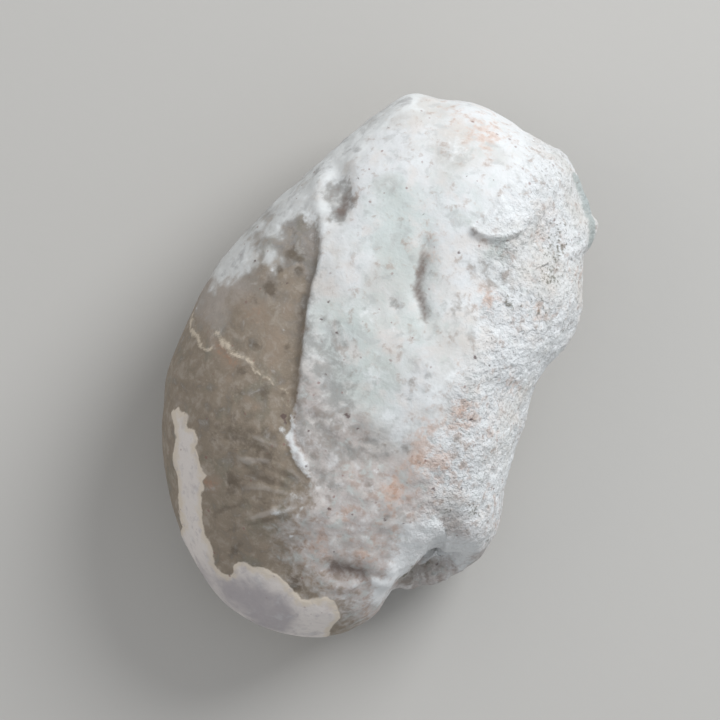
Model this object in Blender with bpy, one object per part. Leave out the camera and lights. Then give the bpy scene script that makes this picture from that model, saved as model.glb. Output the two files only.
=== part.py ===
"""Brachiopod fossil: one loose stone, an inflated valve still filled and part covered by pale matrix.

Run it with: blender --background --python part.py

The stone lies on a flat worn patch of its underside. +Y runs along its length to the crown, +X to the side
that is covered by matrix, -X to the bare valve, and +Z up. The origin is at the middle of its box, on the table.
"""

import bmesh
import bpy
import numpy as np

MM = 0.001

# ---- driving dimensions, in millimetres ----
HEIGHT = 15.2  # from the table to the summit
RIM_HEIGHT = 6.4  # mean height of the widest line around the stone
REST_CUT = 0.7  # how much of the underside's belly is worn off flat
REST_SOFTNESS = 0.4  # the worn patch's border is rounded over this height
SUMMIT_SHIFT = (0.6, 2.0)  # the summit lies off the outline's middle
SIDE_FULLNESS = 0.80  # below 1, the sides stand out fuller than an ellipsoid's
TOP_FULLNESS = 1.0
BELLY_FULLNESS = 0.86
PLAIN_WAVES = 4  # how many waves of the outline reach the summit
BAY_REACH = 5.0  # how soon the outline's small bays fade away from the widest line

# The outline seen from above, counterclockwise from the matrix side.
OUTLINE = (
    (10.08, 1.52),
    (9.65, 3.41),
    (9.66, 5.26),
    (10.22, 7.12),
    (9.89, 9.21),
    (8.98, 11.20),
    (8.48, 12.72),
    (8.57, 13.81),
    (7.31, 15.26),
    (5.71, 16.54),
    (4.04, 17.42),
    (2.64, 17.38),
    (0.04, 17.63),
    (-2.37, 17.48),
    (-4.14, 16.82),
    (-5.80, 16.22),
    (-7.07, 14.34),
    (-7.97, 12.31),
    (-8.47, 10.98),
    (-9.35, 8.53),
    (-10.37, 5.65),
    (-11.24, 2.50),
    (-11.59, -0.45),
    (-11.45, -3.63),
    (-11.14, -6.22),
    (-10.24, -8.58),
    (-8.17, -12.08),
    (-6.24, -14.24),
    (-3.90, -15.97),
    (-1.24, -17.24),
    (1.70, -17.45),
    (4.50, -16.74),
    (6.56, -15.29),
    (7.55, -13.42),
    (7.60, -11.91),
    (8.75, -11.15),
    (10.50, -9.37),
    (11.65, -7.55),
    (11.62, -5.09),
    (10.83, -2.68),
    (10.45, -0.76),
)

# ---- features on the upper side: paths are (x, y), sizes are millimetres ----
# The hinge crest: the matrix stands above the bare valve along it.
CREST = (
    (-7.27, 13.67),
    (-7.30, 11.40),
    (-6.55, 9.60),
    (-6.35, 8.30),
    (-7.00, 6.50),
    (-6.14, 4.08),
    (-5.12, 1.22),
    (-4.09, -1.77),
    (-3.34, -3.85),
    (-2.65, -5.82),
    (-0.42, -7.74),
)
CREST_DROP = 0.95
CREST_FOOT = 2.2  # how far the hollow at its foot reaches over the valve
CREST_SOFTNESS = 0.65  # half the width of the step
CREST_PROFILE = ((-8.4, -5.5, 0.0, 6.4, 8.5, 12.5, 14.5), (0.0, 0.6, 0.85, 1.0, 0.5, 0.3, 0.0))  # share of it by y

POCKET = ((-7.75, 11.2), (-7.2, 9.3), (-6.45, 7.55))
POCKET_DEPTH = 0.8
POCKET_HALF_WIDTH = 0.8

GROOVE = ((-1.28, 8.79), (-0.28, 6.63), (0.26, 5.50), (0.86, 4.90), (1.74, 4.16))
GROOVE_DEPTH = 0.40
GROOVE_HALF_WIDTH = 0.42

# A round bulge of the crown ends in a small lip on this side.
LEDGE_CENTRE = (2.18, 12.53)
LEDGE_RADIUS = 2.2
LEDGE_RISE = 0.60
LEDGE_FACES = np.radians(-62.0)

SLIT = ((2.99, -12.30), (4.20, -12.15), (5.61, -11.90), (6.80, -11.75))
SLIT_DEPTH = 0.60
SLIT_HALF_WIDTH = 0.55

# The ribs fan out over the valve from the umbo.
UMBO = (-0.06, -8.85)
RIB_HEIGHT = 0.15
RIB_COUNT = 15  # around a full turn
RIB_REACH = 5.2
FAN_MIDDLE = np.radians(199.0)
FAN_HALF_ANGLE = np.radians(48.0)

# The back lobe stands out under the front one at the lower right, with a crevice between.
BACK_LOBE_START = np.radians(-57.8)
BACK_LOBE_FULL = np.radians(-43.0)
BACK_LOBE_END = np.radians(-16.0)
BACK_LOBE_STEP = 1.9
BACK_LOBE_RIM = 3.6
CREVICE_HEIGHT = 6.3
CREVICE_HALF_WIDTH = 0.9
CREVICE_DEPTH = 0.9
CREVICE_END = np.radians(-32.0)

# Broad rises and hollows of the upper side: x, y, half width, height.
LUMPS = (
    (2.0, 13.8, 3.2, 0.40),  # crown
    (8.6, 9.3, 1.6, 0.40),  # shoulder
    (6.1, 11.9, 1.3, -0.45),  # hollow between them
    (5.4, 9.2, 1.3, -0.30),
    (5.8, 5.9, 1.5, -0.30),
    (9.0, 3.0, 1.7, -0.35),  # saddle of the matrix side
    (-4.7, 5.0, 1.5, 0.30),  # matrix along the crest
    (-2.6, 0.2, 1.3, -0.20),
    (3.4, 2.0, 3.2, 0.35),  # middle
    (3.4, -4.4, 2.0, -0.35),
    (8.0, -4.8, 1.9, 0.30),
    (0.7, -9.8, 2.0, 0.35),  # beak
    (5.0, -10.6, 1.2, 0.25),
    (3.0, -14.4, 2.4, 0.30),  # foot
    (-6.6, -6.6, 3.2, 0.30),  # bare valve
)

# Uneven swells of the whole surface, from large to small: size and height.
SWELLS = ((7.5, 0.42), (3.9, 0.24), (2.1, 0.12))
SEED = 7

CELLS = 28  # along each edge of the cube that the mesh starts as
DRAW_UP = 0.20  # moves the mesh's rings towards the detailed upper side


def smooth_step(low, high, value):
    """0 below low, 1 above high and an S-curve between."""
    t = np.clip((value - low) / (high - low), 0.0, 1.0)
    return t * t * (3.0 - 2.0 * t)


def outline_radius(azimuth):
    """The outline's distance from the middle: a closed cubic through the outline's points, in polar form."""
    x, y = np.array(OUTLINE).T
    angle = np.arctan2(y, x) % (2 * np.pi)
    order = np.argsort(angle)
    angle, radius = angle[order], np.hypot(x, y)[order]
    angle = np.concatenate([angle[-2:] - 2 * np.pi, angle, angle[:2] + 2 * np.pi])
    radius = np.concatenate([radius[-2:], radius, radius[:2]])
    slope = np.gradient(radius, angle)
    turned = azimuth % (2 * np.pi)
    left = np.clip(np.searchsorted(angle, turned) - 1, 0, len(angle) - 2)
    width = angle[left + 1] - angle[left]
    t = (turned - angle[left]) / width
    return (
        (2 * t**3 - 3 * t**2 + 1) * radius[left]
        + (t**3 - 2 * t**2 + t) * width * slope[left]
        + (-2 * t**3 + 3 * t**2) * radius[left + 1]
        + (t**3 - t**2) * width * slope[left + 1]
    )


def plain_radius(azimuth):
    """The outline without its small bays: its mean and first waves around the turn."""
    turn = np.linspace(0, 2 * np.pi, 360, endpoint=False)
    waves = np.fft.rfft(outline_radius(turn)) / len(turn)
    total = np.full(azimuth.shape, waves[0].real)
    for count in range(1, PLAIN_WAVES + 1):
        total += 2 * (waves[count] * np.exp(1j * count * azimuth)).real
    return total


def signed_turn(azimuth):
    return (azimuth + np.pi) % (2 * np.pi) - np.pi


def back_lobe_share(azimuth, end):
    """1 where the back lobe stands out most under the front one, 0 elsewhere."""
    turned = signed_turn(azimuth)
    return smooth_step(BACK_LOBE_START, BACK_LOBE_FULL, turned) * (
        1 - smooth_step(BACK_LOBE_FULL, end, turned)
    )


def rim_height(azimuth):
    """The height of the widest line: high at the crown, low at the foot and lowest on the back lobe."""
    rim = RIM_HEIGHT + 0.9 * np.sin(azimuth) - 0.5 * np.cos(azimuth)
    lobe = np.exp(-(((signed_turn(azimuth) - BACK_LOBE_FULL) / np.radians(26)) ** 2))
    return rim * (1 - lobe) + BACK_LOBE_RIM * lobe


def body(directions):
    """The stone's main form: an ellipsoid with full sides, whose widest line follows the outline."""
    x, y, z = directions.T
    azimuth = np.arctan2(y, x)
    sine = z + DRAW_UP * (1 - z * z)
    cosine = np.sqrt(np.clip(1 - sine * sine, 0, 1))
    rise = np.clip(sine, 0, 1) ** TOP_FULLNESS
    sink = np.clip(-sine, 0, 1) ** BELLY_FULLNESS
    height = rim_height(azimuth) * (1 - rise - sink) + HEIGHT * rise - REST_CUT * sink
    over = smooth_step(CREVICE_HEIGHT - 1.2, CREVICE_HEIGHT + 0.8, height)
    crevice = np.exp(-(((height - CREVICE_HEIGHT) / CREVICE_HALF_WIDTH) ** 2))
    bays = cosine**BAY_REACH
    radius = outline_radius(azimuth) * bays + plain_radius(azimuth) * (1 - bays)
    reach = (
        radius * cosine**SIDE_FULLNESS
        - BACK_LOBE_STEP * back_lobe_share(azimuth, BACK_LOBE_END) * over * cosine**3
        - CREVICE_DEPTH * back_lobe_share(azimuth, CREVICE_END) * crevice
    )
    lean = np.clip(sine, 0, 1) ** 2
    return np.column_stack(
        [
            reach * np.cos(azimuth) + SUMMIT_SHIFT[0] * lean,
            reach * np.sin(azimuth) + SUMMIT_SHIFT[1] * lean,
            height,
        ]
    )


def path_distance(x, y, path):
    """Each point's distance to a path, its side (1 on the left as the path runs) and its place along it, 0 to 1."""
    ends = np.array(path, float)
    steps = np.diff(ends, axis=0)
    lengths = np.hypot(*steps.T)
    along = np.concatenate([[0], np.cumsum(lengths)])
    nearest = np.full(x.shape, np.inf)
    side = np.zeros(x.shape)
    place = np.zeros(x.shape)
    for start, step, length, before in zip(ends, steps, lengths, along):
        px, py = x - start[0], y - start[1]
        t = np.clip((px * step[0] + py * step[1]) / length**2, 0, 1)
        away = np.hypot(px - t * step[0], py - t * step[1])
        closer = away < nearest
        nearest = np.where(closer, away, nearest)
        turn = np.sign(step[0] * py - step[1] * px)
        side = np.where(closer, turn, side)
        place = np.where(closer, (before + t * length) / along[-1], place)
    return nearest, side, place


def crest(x, y):
    """The step down from the matrix to the valve, with a hollow along its foot."""
    away, side, _ = path_distance(x, y, CREST)
    signed = away * side
    height = CREST_DROP * np.interp(y, *CREST_PROFILE)
    foot = np.exp(-np.clip(-signed, 0, None) / CREST_FOOT)
    step = 1 - smooth_step(-CREST_SOFTNESS, CREST_SOFTNESS, signed)
    lip = 0.2 * np.exp(-(((signed - 0.6) / 0.6) ** 2))
    return height * (lip - foot * step)


def furrow(x, y, path, depth, half_width):
    """A groove with round walls along a path, shallow at both ends."""
    away, _, place = path_distance(x, y, path)
    fade = smooth_step(-0.02, 0.2, place) * (1 - smooth_step(0.8, 1.02, place))
    return -depth * (0.25 + 0.75 * fade) * np.exp(-((away / half_width) ** 2))


def ledge(x, y):
    """A round bulge whose lower edge ends in a small lip."""
    dx, dy = x - LEDGE_CENTRE[0], y - LEDGE_CENTRE[1]
    away = np.hypot(dx, dy)
    turned = signed_turn(np.arctan2(dy, dx) - LEDGE_FACES)
    below = 1 - smooth_step(np.radians(38), np.radians(75), np.abs(turned))
    sharp = smooth_step(0.2, LEDGE_RADIUS, away) * (
        1 - smooth_step(LEDGE_RADIUS - 0.4, LEDGE_RADIUS + 0.5, away)
    )
    return LEDGE_RISE * below * sharp


def ribs(x, y):
    """Low ribs that spread from the umbo over the valve and die out."""
    dx, dy = x - UMBO[0], y - UMBO[1]
    angle = np.arctan2(dy, dx) % (2 * np.pi)
    away = np.hypot(dx, dy)
    inside = 1 - smooth_step(0.6, 1.0, np.abs(angle - FAN_MIDDLE) / FAN_HALF_ANGLE)
    reach = smooth_step(0.2, 1.0, away) * (1 - smooth_step(0.45, 1.0, away / RIB_REACH))
    return RIB_HEIGHT * inside * reach * np.cos(RIB_COUNT * (angle - FAN_MIDDLE))


def lumps(x, y):
    """Broad rises and hollows with round sides."""
    total = np.zeros(x.shape)
    for centre_x, centre_y, half_width, height in LUMPS:
        away = np.hypot(x - centre_x, y - centre_y)
        total += height * np.exp(-((away / half_width) ** 2))
    return total


def smooth_noise(points, size, seed):
    """Random values, -1 to 1, at the corners of a tilted cubic lattice, blended smoothly between them."""
    values = np.random.default_rng(seed).uniform(-1, 1, (32, 32, 32))
    tilt = np.array([[0.79, -0.42, 0.44], [0.55, 0.80, -0.22], [-0.26, 0.42, 0.87]])
    place = points @ tilt / size + 16.5
    corner = np.floor(place).astype(int)
    t = place - corner
    t = t * t * (3 - 2 * t)
    total = np.zeros(len(points))
    for step in np.ndindex(2, 2, 2):
        share = np.prod(np.where(np.array(step) == 1, t, 1 - t), axis=1)
        total += share * values[tuple((corner + step).T % 32)]
    return total


def swells(points):
    """The uneven rise and fall of the whole surface."""
    total = np.zeros(len(points))
    for count, (size, height) in enumerate(SWELLS):
        total += height * smooth_noise(points, size, SEED + count)
    return total


def relief(points, normals):
    """What is added along the surface's normal, in millimetres. The bare valve is the smoothest part."""
    x, y = points[:, 0], points[:, 1]
    top = smooth_step(0.05, 0.45, normals[:, 2])
    features = (
        crest(x, y)
        + furrow(x, y, POCKET, POCKET_DEPTH, POCKET_HALF_WIDTH)
        + furrow(x, y, GROOVE, GROOVE_DEPTH, GROOVE_HALF_WIDTH)
        + furrow(x, y, SLIT, SLIT_DEPTH, SLIT_HALF_WIDTH)
        + ledge(x, y)
        + ribs(x, y)
        + lumps(x, y)
    )
    rough = 0.25 + 0.75 * smooth_step(-7.0, 3.0, x)
    off_rim = 0.2 + 0.8 * smooth_step(0.1, 0.7, np.abs(normals[:, 2]))
    return top * features + rough * off_rim * swells(points)


def worn_flat(height):
    """0 below the table, with a round border."""
    near = np.clip(height + REST_SOFTNESS, 0, 2 * REST_SOFTNESS)
    return np.where(height > REST_SOFTNESS, height, near**2 / (4 * REST_SOFTNESS))


def cube_mesh(name):
    """A cube of CELLS by CELLS squares a side, which the stone is shaped from."""
    mesh = bpy.data.meshes.new(name)
    shape = bmesh.new()
    bmesh.ops.create_cube(shape, size=2.0)
    bmesh.ops.subdivide_edges(shape, edges=shape.edges[:], cuts=CELLS - 1, use_grid_fill=True)
    shape.to_mesh(mesh)
    shape.free()
    return mesh


def cut_to_triangles(mesh):
    """Cuts each square the way that follows the steps and furrows best."""
    shape = bmesh.new()
    shape.from_mesh(mesh)
    bmesh.ops.triangulate(shape, faces=shape.faces[:], quad_method="BEAUTY")
    shape.to_mesh(mesh)
    shape.free()


def read_points(mesh):
    points = np.empty(len(mesh.vertices) * 3)
    mesh.vertices.foreach_get("co", points)
    return points.reshape(-1, 3)


def write_points(mesh, points):
    mesh.vertices.foreach_set("co", points.ravel())
    mesh.update()


def shape_stone(mesh):
    """Turns the cube into the stone: sphere, main form, relief, rest patch, and the origin under its middle."""
    even = np.tan(read_points(mesh) * np.pi / 4)
    directions = even / np.linalg.norm(even, axis=1, keepdims=True)
    points = body(directions)
    write_points(mesh, points)
    normals = np.empty(len(mesh.vertices) * 3)
    mesh.vertex_normals.foreach_get("vector", normals)
    normals = normals.reshape(-1, 3)
    points = points + normals * relief(points, normals)[:, None]
    points[:, 2] = worn_flat(points[:, 2])
    middle = (points.min(axis=0) + points.max(axis=0)) / 2
    points[:, :2] -= middle[:2]
    write_points(mesh, points * MM)


def stone_material():
    """Chalky, weathered limestone: matt, pale and slightly warm."""
    material = bpy.data.materials.new("weathered_limestone")
    material.use_nodes = True
    shader = material.node_tree.nodes["Principled BSDF"]
    shader.inputs["Base Color"].default_value = (0.55, 0.53, 0.50, 1.0)
    shader.inputs["Roughness"].default_value = 0.85
    shader.inputs["Metallic"].default_value = 0.0
    return material


def main():
    for old in list(bpy.data.objects):
        bpy.data.objects.remove(old)
    mesh = cube_mesh("brachiopod_fossil")
    shape_stone(mesh)
    cut_to_triangles(mesh)
    mesh.shade_smooth()
    mesh.materials.append(stone_material())
    stone = bpy.data.objects.new("brachiopod_fossil", mesh)
    bpy.context.scene.collection.objects.link(stone)


if __name__ == "__main__":
    main()
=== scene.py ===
"""Brachiopod fossil: the stone's fine surface and materials, and a plain studio stage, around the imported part.

Lengths inside the shape functions are millimetres. +Y runs to the stone's crown, +X to the side that is covered
by matrix, -X to the bare valve, and +Z up.
"""

import math

import bpy
import numpy as np
from bpy.props import FloatProperty, FloatVectorProperty, IntProperty, PointerProperty
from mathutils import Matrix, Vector


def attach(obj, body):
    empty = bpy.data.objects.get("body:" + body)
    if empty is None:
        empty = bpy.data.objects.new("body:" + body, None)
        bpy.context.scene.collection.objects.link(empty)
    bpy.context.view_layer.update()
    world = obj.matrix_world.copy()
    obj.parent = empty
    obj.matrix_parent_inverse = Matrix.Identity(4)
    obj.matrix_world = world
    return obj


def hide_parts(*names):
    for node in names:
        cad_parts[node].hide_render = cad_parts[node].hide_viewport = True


bl_info = {
    "name": "Brachiopod Fossil",
    "version": (1, 0, 0),
    "blender": (4, 5, 0),
    "location": "3D View > Sidebar > Fossil",
    "description": "Builds a loose brachiopod fossil and a plain studio stage",
    "category": "Object",
}

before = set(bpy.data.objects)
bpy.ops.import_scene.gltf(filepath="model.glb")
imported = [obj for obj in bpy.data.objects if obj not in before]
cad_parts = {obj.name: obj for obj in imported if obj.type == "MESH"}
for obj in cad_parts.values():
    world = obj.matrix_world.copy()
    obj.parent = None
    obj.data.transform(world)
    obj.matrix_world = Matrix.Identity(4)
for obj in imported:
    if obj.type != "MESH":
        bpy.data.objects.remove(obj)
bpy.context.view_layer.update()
MM = 0.001

# ---- main form: the part's own, save that the back lobe's step and the crevice end sooner, the crevice is
# narrower and deeper, and some lumps are added or changed ----
RIM_HEIGHT = 6.4
REST_CUT = 0.7
REST_SOFTNESS = 0.4
SUMMIT_SHIFT = (0.6, 2.0)
SIDE_FULLNESS = 0.80
BELLY_FULLNESS = 0.86
PLAIN_WAVES = 4
BAY_REACH = 5.0
DRAW_UP = 0.20
OUTLINE = (
    (10.08, 1.52), (9.65, 3.41), (9.66, 5.26), (10.22, 7.12), (9.89, 9.21), (8.98, 11.20),
    (8.48, 12.72), (8.57, 13.81), (7.31, 15.26), (5.71, 16.54), (4.04, 17.42), (2.64, 17.38),
    (0.04, 17.63), (-2.37, 17.48), (-4.14, 16.82), (-5.80, 16.22), (-7.07, 14.34), (-7.97, 12.31),
    (-8.47, 10.98), (-9.35, 8.53), (-10.37, 5.65), (-11.24, 2.50), (-11.59, -0.45), (-11.45, -3.63),
    (-11.14, -6.22), (-10.24, -8.58), (-8.17, -12.08), (-6.24, -14.24), (-3.90, -15.97), (-1.24, -17.24),
    (1.70, -17.45), (4.50, -16.74), (6.56, -15.29), (7.55, -13.42), (7.60, -11.91), (8.75, -11.15),
    (10.50, -9.37), (11.65, -7.55), (11.62, -5.09), (10.83, -2.68), (10.45, -0.76),
)
BACK_LOBE_START = math.radians(-57.8)
BACK_LOBE_FULL = math.radians(-43.0)
BACK_LOBE_END = math.radians(-32.0)
BACK_LOBE_STEP = 1.9
BACK_LOBE_RIM = 3.6
CREVICE_HEIGHT = 6.3
CREVICE_HALF_WIDTH = 0.7
CREVICE_DEPTH = 1.0
CREVICE_END = math.radians(-36.0)
SWELLS = ((7.5, 0.42), (3.9, 0.24), (2.1, 0.12))
SEED = 7
LUMPS = (
    (2.0, 13.8, 3.2, 0.40), (8.6, 9.3, 1.6, 0.40), (6.1, 11.9, 1.3, -0.45), (5.4, 9.2, 1.3, -0.30),
    (5.8, 5.9, 1.5, -0.30), (9.0, 3.0, 1.7, -0.20), (-4.7, 5.0, 1.5, 0.30), (-2.6, 0.2, 1.3, -0.20),
    (3.4, 2.0, 3.2, 0.35), (3.4, -4.4, 2.0, -0.20), (8.0, -4.8, 1.9, 0.30), (0.7, -9.8, 2.0, 0.35),
    (5.0, -10.6, 1.2, 0.25), (3.0, -14.4, 2.4, 0.30), (-6.6, -6.6, 3.2, 0.30), (10.2, -9.8, 1.2, 0.45),
    (8.6, -7.1, 1.6, 0.55), (10.2, -6.0, 1.2, 0.25),
)

# ---- features of the upper side: paths are (x, y), as seen from the camera's place ----
CAMERA_PLAN = (-0.97, 0.05)
CAMERA_LEVEL = 7.0
CAMERA_RISE = 300.0
CREST = (
    (-6.90, 13.00), (-7.06, 12.50), (-7.46, 11.66), (-7.19, 10.63), (-6.52, 9.54), (-5.79, 8.76),
    (-5.90, 7.11),
    (-6.91, 6.62), (-7.00, 6.25), (-6.64, 5.62), (-6.17, 4.43), (-5.78, 3.01), (-5.46, 1.83), (-4.93, 0.40),
    (-4.51, -0.73), (-3.90, -2.31), (-3.34, -3.62), (-2.88, -4.82), (-2.51, -5.52), (-1.84, -6.34),
    (-0.57, -7.29),
)
CREST_REACH = 2.2
CREST_SHARE = (
    (-8.4, -5.5, 0.0, 4.5, 6.0, 7.2, 9.5, 11.5, 13.2), (0.0, 0.5, 0.85, 0.70, 0.40, 0.15, 0.10, 0.05, 0.0),
)
CREST_SOFTNESS = ((5.0, 6.8, 8.5), (0.26, 0.55, 0.7))
POCKET = ((-7.65, 10.74), (-7.20, 9.15), (-6.70, 8.16), (-6.40, 7.46))
POCKET_PATCH = (
    (-7.79, 8.17), (-7.85, 8.90), (-7.46, 9.53), (-6.90, 9.60), (-6.23, 9.00), (-5.81, 8.87), (-5.85, 8.30),
    (-5.90, 7.67), (-5.80, 7.10), (-6.64, 6.90), (-6.80, 7.41), (-7.41, 7.79),
)
# The dark band on the pocket's right side is dirt and painted shade under the matrix's edge.
POCKET_DIRT_AND_SHADE = ((-6.20, 8.70), (-6.35, 8.00), (-6.20, 7.30))
POCKET_CRACK = ((-7.10, 9.40), (-7.05, 10.40), (-7.10, 11.50), (-6.90, 12.60))
POCKET_RIDGE = ((-8.25, 10.60), (-8.40, 9.40), (-8.30, 8.40), (-7.90, 7.60), (-7.40, 7.00), (-7.20, 6.40))
GROOVE = (
    (-0.95, 8.95), (-0.62, 8.20), (-0.15, 7.05), (0.15, 6.06), (0.42, 5.40), (0.95, 4.97), (1.41, 4.47),
    (1.86, 3.98),
)
LEDGE = (
    (1.30, 10.55), (1.60, 10.36), (2.48, 10.42), (3.01, 10.60), (3.59, 11.02), (4.14, 11.61), (4.40, 12.10),
)
LEDGE_REACH = 2.6
# Painted shadow under the left end of the ledge's lip.
LEDGE_END = ((1.35, 10.75), (1.60, 10.50), (1.95, 10.25))
# The slit is a brown stain with painted shade in its recess, and the white of its lip is a painted highlight.
SLIT = ((3.32, -12.40), (3.84, -12.27), (4.39, -12.12), (5.30, -11.77), (6.10, -11.57))
SLIT_LIP = ((3.98, -13.08), (4.91, -12.81), (5.99, -11.90), (6.83, -11.65), (7.58, -11.20))
UMBO = (-0.06, -8.85)
FAN_MIDDLE = math.radians(199.0)
FAN_HALF_ANGLE = math.radians(50.0)
# Pale rib lines: pale shell, with a painted highlight on the ribs' lit sides.
PALE_RIBS = (
    ((-4.74, -9.10), (-3.41, -8.29), (-2.31, -7.91)),
    ((-3.80, -10.50), (-2.94, -10.07), (-2.08, -9.67), (-1.19, -9.35), (0.07, -9.06)),
    ((-3.60, -12.10), (-2.93, -11.40), (-2.31, -10.80), (-1.49, -10.12), (-0.37, -9.56), (0.21, -9.10)),
    ((-2.60, -12.40), (-1.94, -11.49), (-1.26, -10.77), (-0.67, -10.34), (0.24, -9.38)),
    ((-5.20, -7.59), (-4.14, -7.20), (-2.57, -7.09)),
    ((-1.92, -7.99), (-1.14, -8.11), (-0.44, -8.33)),
)
# Dark rib lines: olive-brown shell, with painted shade between the ribs.
DARK_RIBS = (
    ((-4.31, -9.91), (-3.43, -9.35), (-2.33, -9.21), (-1.12, -9.04), (0.00, -8.92)),
    ((-4.66, -10.81), (-4.17, -10.19), (-3.50, -9.66)),
    ((-3.02, -11.02), (-1.71, -10.38), (-0.67, -9.89), (0.17, -9.24)),
    ((-4.56, -13.00), (-4.05, -12.19), (-3.00, -11.28), (-2.01, -10.87)),
    ((-6.47, -8.52), (-5.14, -7.70), (-4.37, -7.59), (-3.16, -7.65), (-2.50, -7.67)),
    ((-3.46, -8.83), (-2.40, -8.44), (-1.19, -8.34), (-0.25, -8.57)),
    ((-3.41, -13.67), (-2.58, -12.51), (-1.60, -11.63), (-0.63, -10.75)),
)
# The seam is the broken edge of a thin shell layer: cream, with a painted highlight where the edge faces the light.
SEAM = (
    (-9.54, -2.73), (-8.91, -2.98), (-8.43, -3.13), (-7.81, -3.35), (-7.32, -3.27), (-6.76, -3.29),
    (-6.36, -3.60),
    (-5.69, -3.60), (-5.05, -3.80), (-4.54, -3.90), (-3.83, -4.06), (-3.13, -4.68), (-2.83, -5.60),
)
SEAM_BRANCH = (
    (-11.47, -1.82), (-11.27, -2.88), (-10.77, -3.39), (-10.20, -3.53), (-9.76, -3.93), (-9.39, -3.78),
    (-9.28, -3.23),
)
# The pale hinge strip is raised, and part of its white is a painted highlight where it faces the light.
HINGE_STRIP = (
    (-3.09, -5.01), (-2.62, -5.59), (-2.38, -6.23), (-1.90, -6.74), (-1.31, -7.14), (-0.72, -7.53),
    (-0.29, -7.72),
)
HINGE_WIDTH = ((0.0, 0.25, 0.45, 0.62, 0.85, 1.0), (0.12, 0.16, 0.26, 0.38, 0.36, 0.18))
UMBO_LINES = (
    ((-1.05, -9.28), (-0.37, -9.12), (0.21, -9.06)), ((-1.24, -10.82), (-0.49, -10.22), (0.21, -9.43)),
    ((0.24, -10.50), (0.30, -9.94), (0.30, -9.23)),
)
FOLD = (
    (7.76, -12.00), (7.69, -11.10), (7.96, -10.47), (8.08, -9.93), (8.30, -9.46), (8.59, -8.78),
    (8.93, -8.18), (9.49, -7.70), (9.93, -7.41),
)
# The fold's pale band is a painted highlight along the front lobe's edge, where it faces the light.
FOLD_BAND = (0.6, 0.6)  # how far inside the fold's edge its pale band lies, and the band's half width
FOLD_BAND_END = (-7.6, -8.8)
# The back lobe's painted shadow, cast by the front lobe's edge at the fold: how far it reaches from the fold, where
# along y it fades, and the heights over which it grows.
LOBE_SHADOW_REACH = 1.4
LOBE_SHADOW_END = (-7.6, -9.0)
LOBE_SHADOW_LEVELS = (3.8, 6.6)
DOT_SPACING = 0.8
DOT_LEAST = 0.03
DOT_GROWTH = 0.26
HINGE_SIDE = ((-3.41, -5.95), (-2.94, -6.17), (-2.51, -6.42))
FIN = ((5.6, 16.5), (6.84, 15.62), (7.68, 14.78), (8.34, 14.0), (8.65, 13.3))
FIN_START, FIN_END = math.radians(73.0), math.radians(57.0)
FIN_HEIGHT = 8.2
FIN_HALF_THICKNESS = 0.34
FIN_REACH = 0.42
CRUST = (
    (-9.64, -8.23), (-9.31, -7.83), (-9.00, -8.07), (-8.87, -7.91), (-8.61, -7.96), (-8.28, -8.68),
    (-7.74, -8.58),
    (-7.38, -8.92), (-7.22, -9.56), (-6.63, -10.15), (-6.19, -10.64), (-5.85, -10.75), (-5.89, -11.20),
    (-5.60, -11.45), (-5.59, -11.95), (-5.25, -12.67), (-4.81, -13.25), (-4.22, -13.84), (-3.64, -14.25),
    (-3.24, -14.67), (-2.88, -15.34), (-2.27, -15.56), (-1.66, -15.51), (-1.48, -15.14), (-1.82, -14.87),
    (-1.58, -14.47), (-1.12, -14.32), (-0.68, -14.46), (-0.27, -14.22), (0.45, -14.22), (1.08, -14.05),
    (1.58, -14.14), (2.20, -14.45), (2.77, -14.50), (3.38, -14.29), (4.12, -13.74), (4.68, -13.85),
    (5.11, -14.16),
    (5.52, -14.58), (5.29, -15.51), (5.75, -16.71), (4.92, -18.22), (0.45, -19.98), (-5.41, -16.78),
    (-5.75, -15.37),
    (-5.69, -14.30), (-6.30, -13.59), (-6.74, -12.92), (-7.19, -12.25), (-7.71, -11.45), (-8.32, -10.69),
    (-8.42, -10.20), (-8.61, -9.58), (-9.23, -8.83),
)
BLOOM = (
    (-13.92, -2.05), (-11.55, -0.05), (-10.82, 0.60), (-10.12, 0.98), (-9.65, 2.13), (-9.47, 3.15),
    (-8.69, 2.55),
    (-8.04, 2.17), (-8.28, 3.13), (-9.22, 3.89), (-8.75, 4.87), (-8.25, 6.13), (-7.62, 6.33), (-7.09, 6.54),
    (-6.75, 6.75), (-7.10, 7.55), (-7.74, 7.79), (-8.10, 8.60), (-7.50, 9.80), (-6.50, 10.70), (-6.60, 12.65),
    (-6.20, 13.70), (-5.60, 15.40), (-5.00, 17.60), (-9.82, 15.00), (-12.18, 8.66), (-13.99, 0.75),
)
# Where the bare valve meets the matrix: on the upper side, running down to the foot, and on the underside.
VALVE_EDGE = (
    (-6.01, 17.50), (-6.38, 15.30), (-6.80, 13.72), (-7.60, 12.50), (-8.40, 11.00), (-8.60, 9.50),
    (-8.40, 8.20), (-8.00, 7.30), (-7.40, 6.80), (-7.00, 6.25), (-6.64, 5.62), (-6.17, 4.43), (-5.78, 3.01),
    (-5.46, 1.83), (-4.93, 0.40), (-4.51, -0.73), (-3.90, -2.31), (-3.34, -3.62), (-2.95, -4.85),
    (-2.60, -6.02),
    (-2.37, -6.62), (-1.39, -7.28), (-0.28, -7.68), (0.25, -8.84), (0.10, -10.10), (0.10, -11.35),
    (0.50, -12.20),
    (1.40, -12.90), (2.60, -13.40), (4.30, -13.90), (6.30, -14.50), (7.41, -14.74), (8.90, -15.79),
)
VALVE_EDGE_SOFTNESS = (
    (-15.0, -11.0, -8.6, -7.4, 5.5, 6.8, 8.5, 17.0), (1.3, 1.7, 1.1, 0.18, 0.18, 0.28, 0.40, 0.7),
)
UNDER_EDGE = ((-8.5, 17.0), (-6.5, 12.0), (-3.2, 7.0), (-0.8, 1.5), (1.6, -4.0), (4.4, -9.0), (9.0, -16.0))
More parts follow.
